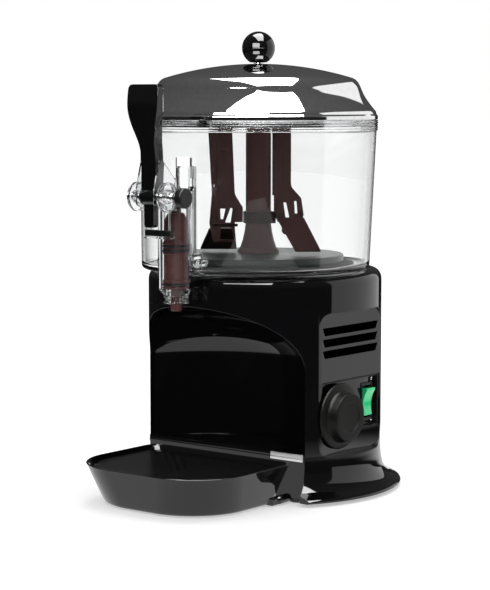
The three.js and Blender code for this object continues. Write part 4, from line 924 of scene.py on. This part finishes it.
camera_data = bpy.data.cameras.new("camera")
camera_data.sensor_fit = "VERTICAL"
camera_data.sensor_height = 36
camera_data.lens = FOCAL
camera_data.clip_end = 100
camera = bpy.data.objects.new("camera", camera_data)
camera.location = place(DISTANCE * math.sin(AZIMUTH), -DISTANCE * math.cos(AZIMUTH), EYE_Z)
camera.rotation_euler = (math.radians(90 - PITCH), 0, AZIMUTH + math.radians(YAW))
scene.collection.objects.link(camera)
scene.camera = camera



def sheet(name, corners, height):
    """A level sheet given by (right, away) corners in metres, as the camera sees them."""
    right = Vector((math.cos(AZIMUTH), math.sin(AZIMUTH), 0))
    away = Vector((-math.sin(AZIMUTH), math.cos(AZIMUTH), 0))
    mesh = bpy.data.meshes.new(name)
    mesh.from_pydata([place(0, 0, height) + right * u + away * v for u, v in corners], [], [(0, 1, 2, 3)])
    thing = bpy.data.objects.new(name, mesh)
    scene.collection.objects.link(thing)
    return thing


floor = sheet("floor", [(-0.45, -3.4), (0.45, -3.4), (5, 30), (-5, 30)], -0.2)
floor_material, tree, shader = new_material("pale_floor")
shader.inputs["Base Color"].default_value = (0.9, 0.9, 0.9, 1)
shader.inputs["Roughness"].default_value = 0.9
shader.inputs["Specular IOR Level"].default_value = 0.0
shader.inputs["Emission Color"].default_value = (1, 1, 1, 1)
shader.inputs["Emission Strength"].default_value = 0.42
floor.data.materials.append(floor_material)
floor.visible_glossy = False

# The lit patch of table that the gloss surfaces mirror; it fades out away from the object.
glow = sheet("table_glow", [(-0.7, -0.7), (0.7, -0.7), (0.7, 0.7), (-0.7, 0.7)], -0.1)
glow.visible_camera = glow.visible_diffuse = glow.visible_transmission = glow.visible_shadow = False
glow_material, tree, shader = new_material("table_glow")
shader.inputs["Base Color"].default_value = (0, 0, 0, 1)
shader.inputs["Specular IOR Level"].default_value = 0.0
shader.inputs["Emission Color"].default_value = (1, 1, 1, 1)
spot = tree.nodes.new("ShaderNodeNewGeometry")
reach = tree.nodes.new("ShaderNodeVectorMath")
reach.operation = "DISTANCE"
reach.inputs[1].default_value = place(0, -20, -0.1)
fade = tree.nodes.new("ShaderNodeMapRange")
fade.interpolation_type = "SMOOTHSTEP"
fade.inputs["From Min"].default_value = 0.34
fade.inputs["From Max"].default_value = 0.47
fade.inputs["To Min"].default_value = 1.05
fade.inputs["To Max"].default_value = 0.03
tree.links.new(spot.outputs["Position"], reach.inputs[0])
tree.links.new(reach.outputs["Value"], fade.inputs["Value"])
tree.links.new(fade.outputs["Result"], shader.inputs["Emission Strength"])
glow.data.materials.append(glow_material)

world = bpy.data.worlds.new("world")
scene.world = world
world.use_nodes = True
wt = world.node_tree
back = wt.nodes["Background"]


def wnode(kind, **settings):
    node = wt.nodes.new(kind)
    for key, value in settings.items():
        setattr(node, key, value)
    return node


def maths(operation, a, b=None, clamp=False):
    node = wnode("ShaderNodeMath", operation=operation, use_clamp=clamp)
    for socket, value in zip(node.inputs, (a, b)):
        if value is None:
            continue
        if isinstance(value, (int, float)):
            socket.default_value = value
        else:
            wt.links.new(value, socket)
    return node.outputs[0]


coords = wnode("ShaderNodeTexCoord")
split = wnode("ShaderNodeSeparateXYZ")
wt.links.new(coords.outputs["Generated"], split.inputs[0])
azimuth = maths("ARCTAN2", split.outputs["X"], maths("MULTIPLY", split.outputs["Y"], -1.0))
relative = maths("SUBTRACT", azimuth, AZIMUTH)
height = split.outputs["Z"]
level_part = maths("SQRT", maths("SUBTRACT", 1.0, maths("MULTIPLY", height, height)))


def window(value, low, high, soft):
    """1 where value is between low and high, falling off over `soft`."""
    rise = maths("DIVIDE", maths("SUBTRACT", value, low), soft, True)
    fall = maths("DIVIDE", maths("SUBTRACT", high, value), soft, True)
    return maths("MULTIPLY", rise, fall)


def overhead_box(turn, across, along, strength):
    """A flat softbox straight above, turned about the vertical; its limits are shares of its height."""
    spread = maths("DIVIDE", level_part, maths("MAXIMUM", height, 0.02))
    right = maths("MULTIPLY", maths("SINE", relative), spread)
    near = maths("MULTIPLY", maths("COSINE", relative), spread)
    c, s = math.cos(turn), math.sin(turn)
    u = maths("SUBTRACT", maths("MULTIPLY", right, c), maths("MULTIPLY", near, s))
    v = maths("ADD", maths("MULTIPLY", right, s), maths("MULTIPLY", near, c))
    lit = maths("MULTIPLY", window(u, *across, 0.02), window(v, *along, 0.02))
    return maths("MULTIPLY", maths("MULTIPLY", lit, strength), maths("GREATER_THAN", height, 0.02))


def side_panel(az, across, up, strength):
    """A flat upright panel facing the object; its limits are shares of its distance."""
    delta = maths("SUBTRACT", relative, math.radians(az))
    ahead = maths("MAXIMUM", maths("COSINE", delta), 0.01)
    sideways = maths("DIVIDE", maths("SINE", delta), ahead)
    climb = maths("DIVIDE", maths("DIVIDE", height, maths("MAXIMUM", level_part, 0.01)), ahead)
    lit = maths("MULTIPLY", window(sideways, *across, 0.03), window(climb, *up, 0.03))
    return maths("MULTIPLY", maths("MULTIPLY", lit, strength),
                 maths("GREATER_THAN", maths("COSINE", delta), 0.02))


upper = maths("MULTIPLY", maths("MULTIPLY", height, 8, True),
              maths("ADD", maths("MULTIPLY", height, 0.05), 0.045))
sky = maths("ADD", overhead_box(math.radians(19.3), (-0.34, 0.45), (-0.5, 0.86), 16.0),
            side_panel(89, (-0.40, 1.9), (-0.68, 0.77), 0.95))
sky = maths("ADD", sky, maths("ADD", upper, 0.015))
ways = wnode("ShaderNodeLightPath")
beyond = maths("SUBTRACT", relative, math.pi)
beyond = maths("ARCTAN2", maths("SINE", beyond), maths("COSINE", beyond))
through = maths("MULTIPLY", ways.outputs["Is Transmission Ray"], window(beyond, -0.62, 0.62, 0.15))
seen = maths("MAXIMUM", ways.outputs["Is Camera Ray"], through)


def blend(factor, first, second):
    node = wnode("ShaderNodeMix")
    wt.links.new(factor, node.inputs["Factor"])
    for socket, value in ((node.inputs[2], first), (node.inputs[3], second)):
        if isinstance(value, float):
            socket.default_value = value
        else:
            wt.links.new(value, socket)
    return node.outputs[0]


# Matt surfaces get one even light, and clear ones pass no more than the pale surround.
matt = maths("GREATER_THAN", ways.outputs["Diffuse Depth"], 0.5)
inside = maths("GREATER_THAN", ways.outputs["Transmission Depth"], 0.5)
sky = blend(inside, sky, maths("MINIMUM", sky, 1.1))
level = blend(matt, blend(seen, sky, 1.0), 0.72)
world.cycles.sampling_method = "NONE"
wt.links.new(level, back.inputs["Strength"])
back.inputs["Color"].default_value = (1, 1, 1, 1)

overhead = card("overhead", 150, 72, 1.5 / MM, 1.2, 1.2, 2.0)
overhead.visible_glossy = overhead.visible_transmission = False
window_light = card("window", -16.5, 17.5, 520, 0.46, 0.275, 14.0, (0, 0, 448))
window_light.visible_diffuse = window_light.visible_transmission = window_light.visible_camera = False

scene.view_settings.view_transform = "Standard"
scene.view_settings.look = "None"
scene.view_settings.exposure = 0
scene.view_settings.gamma = 1
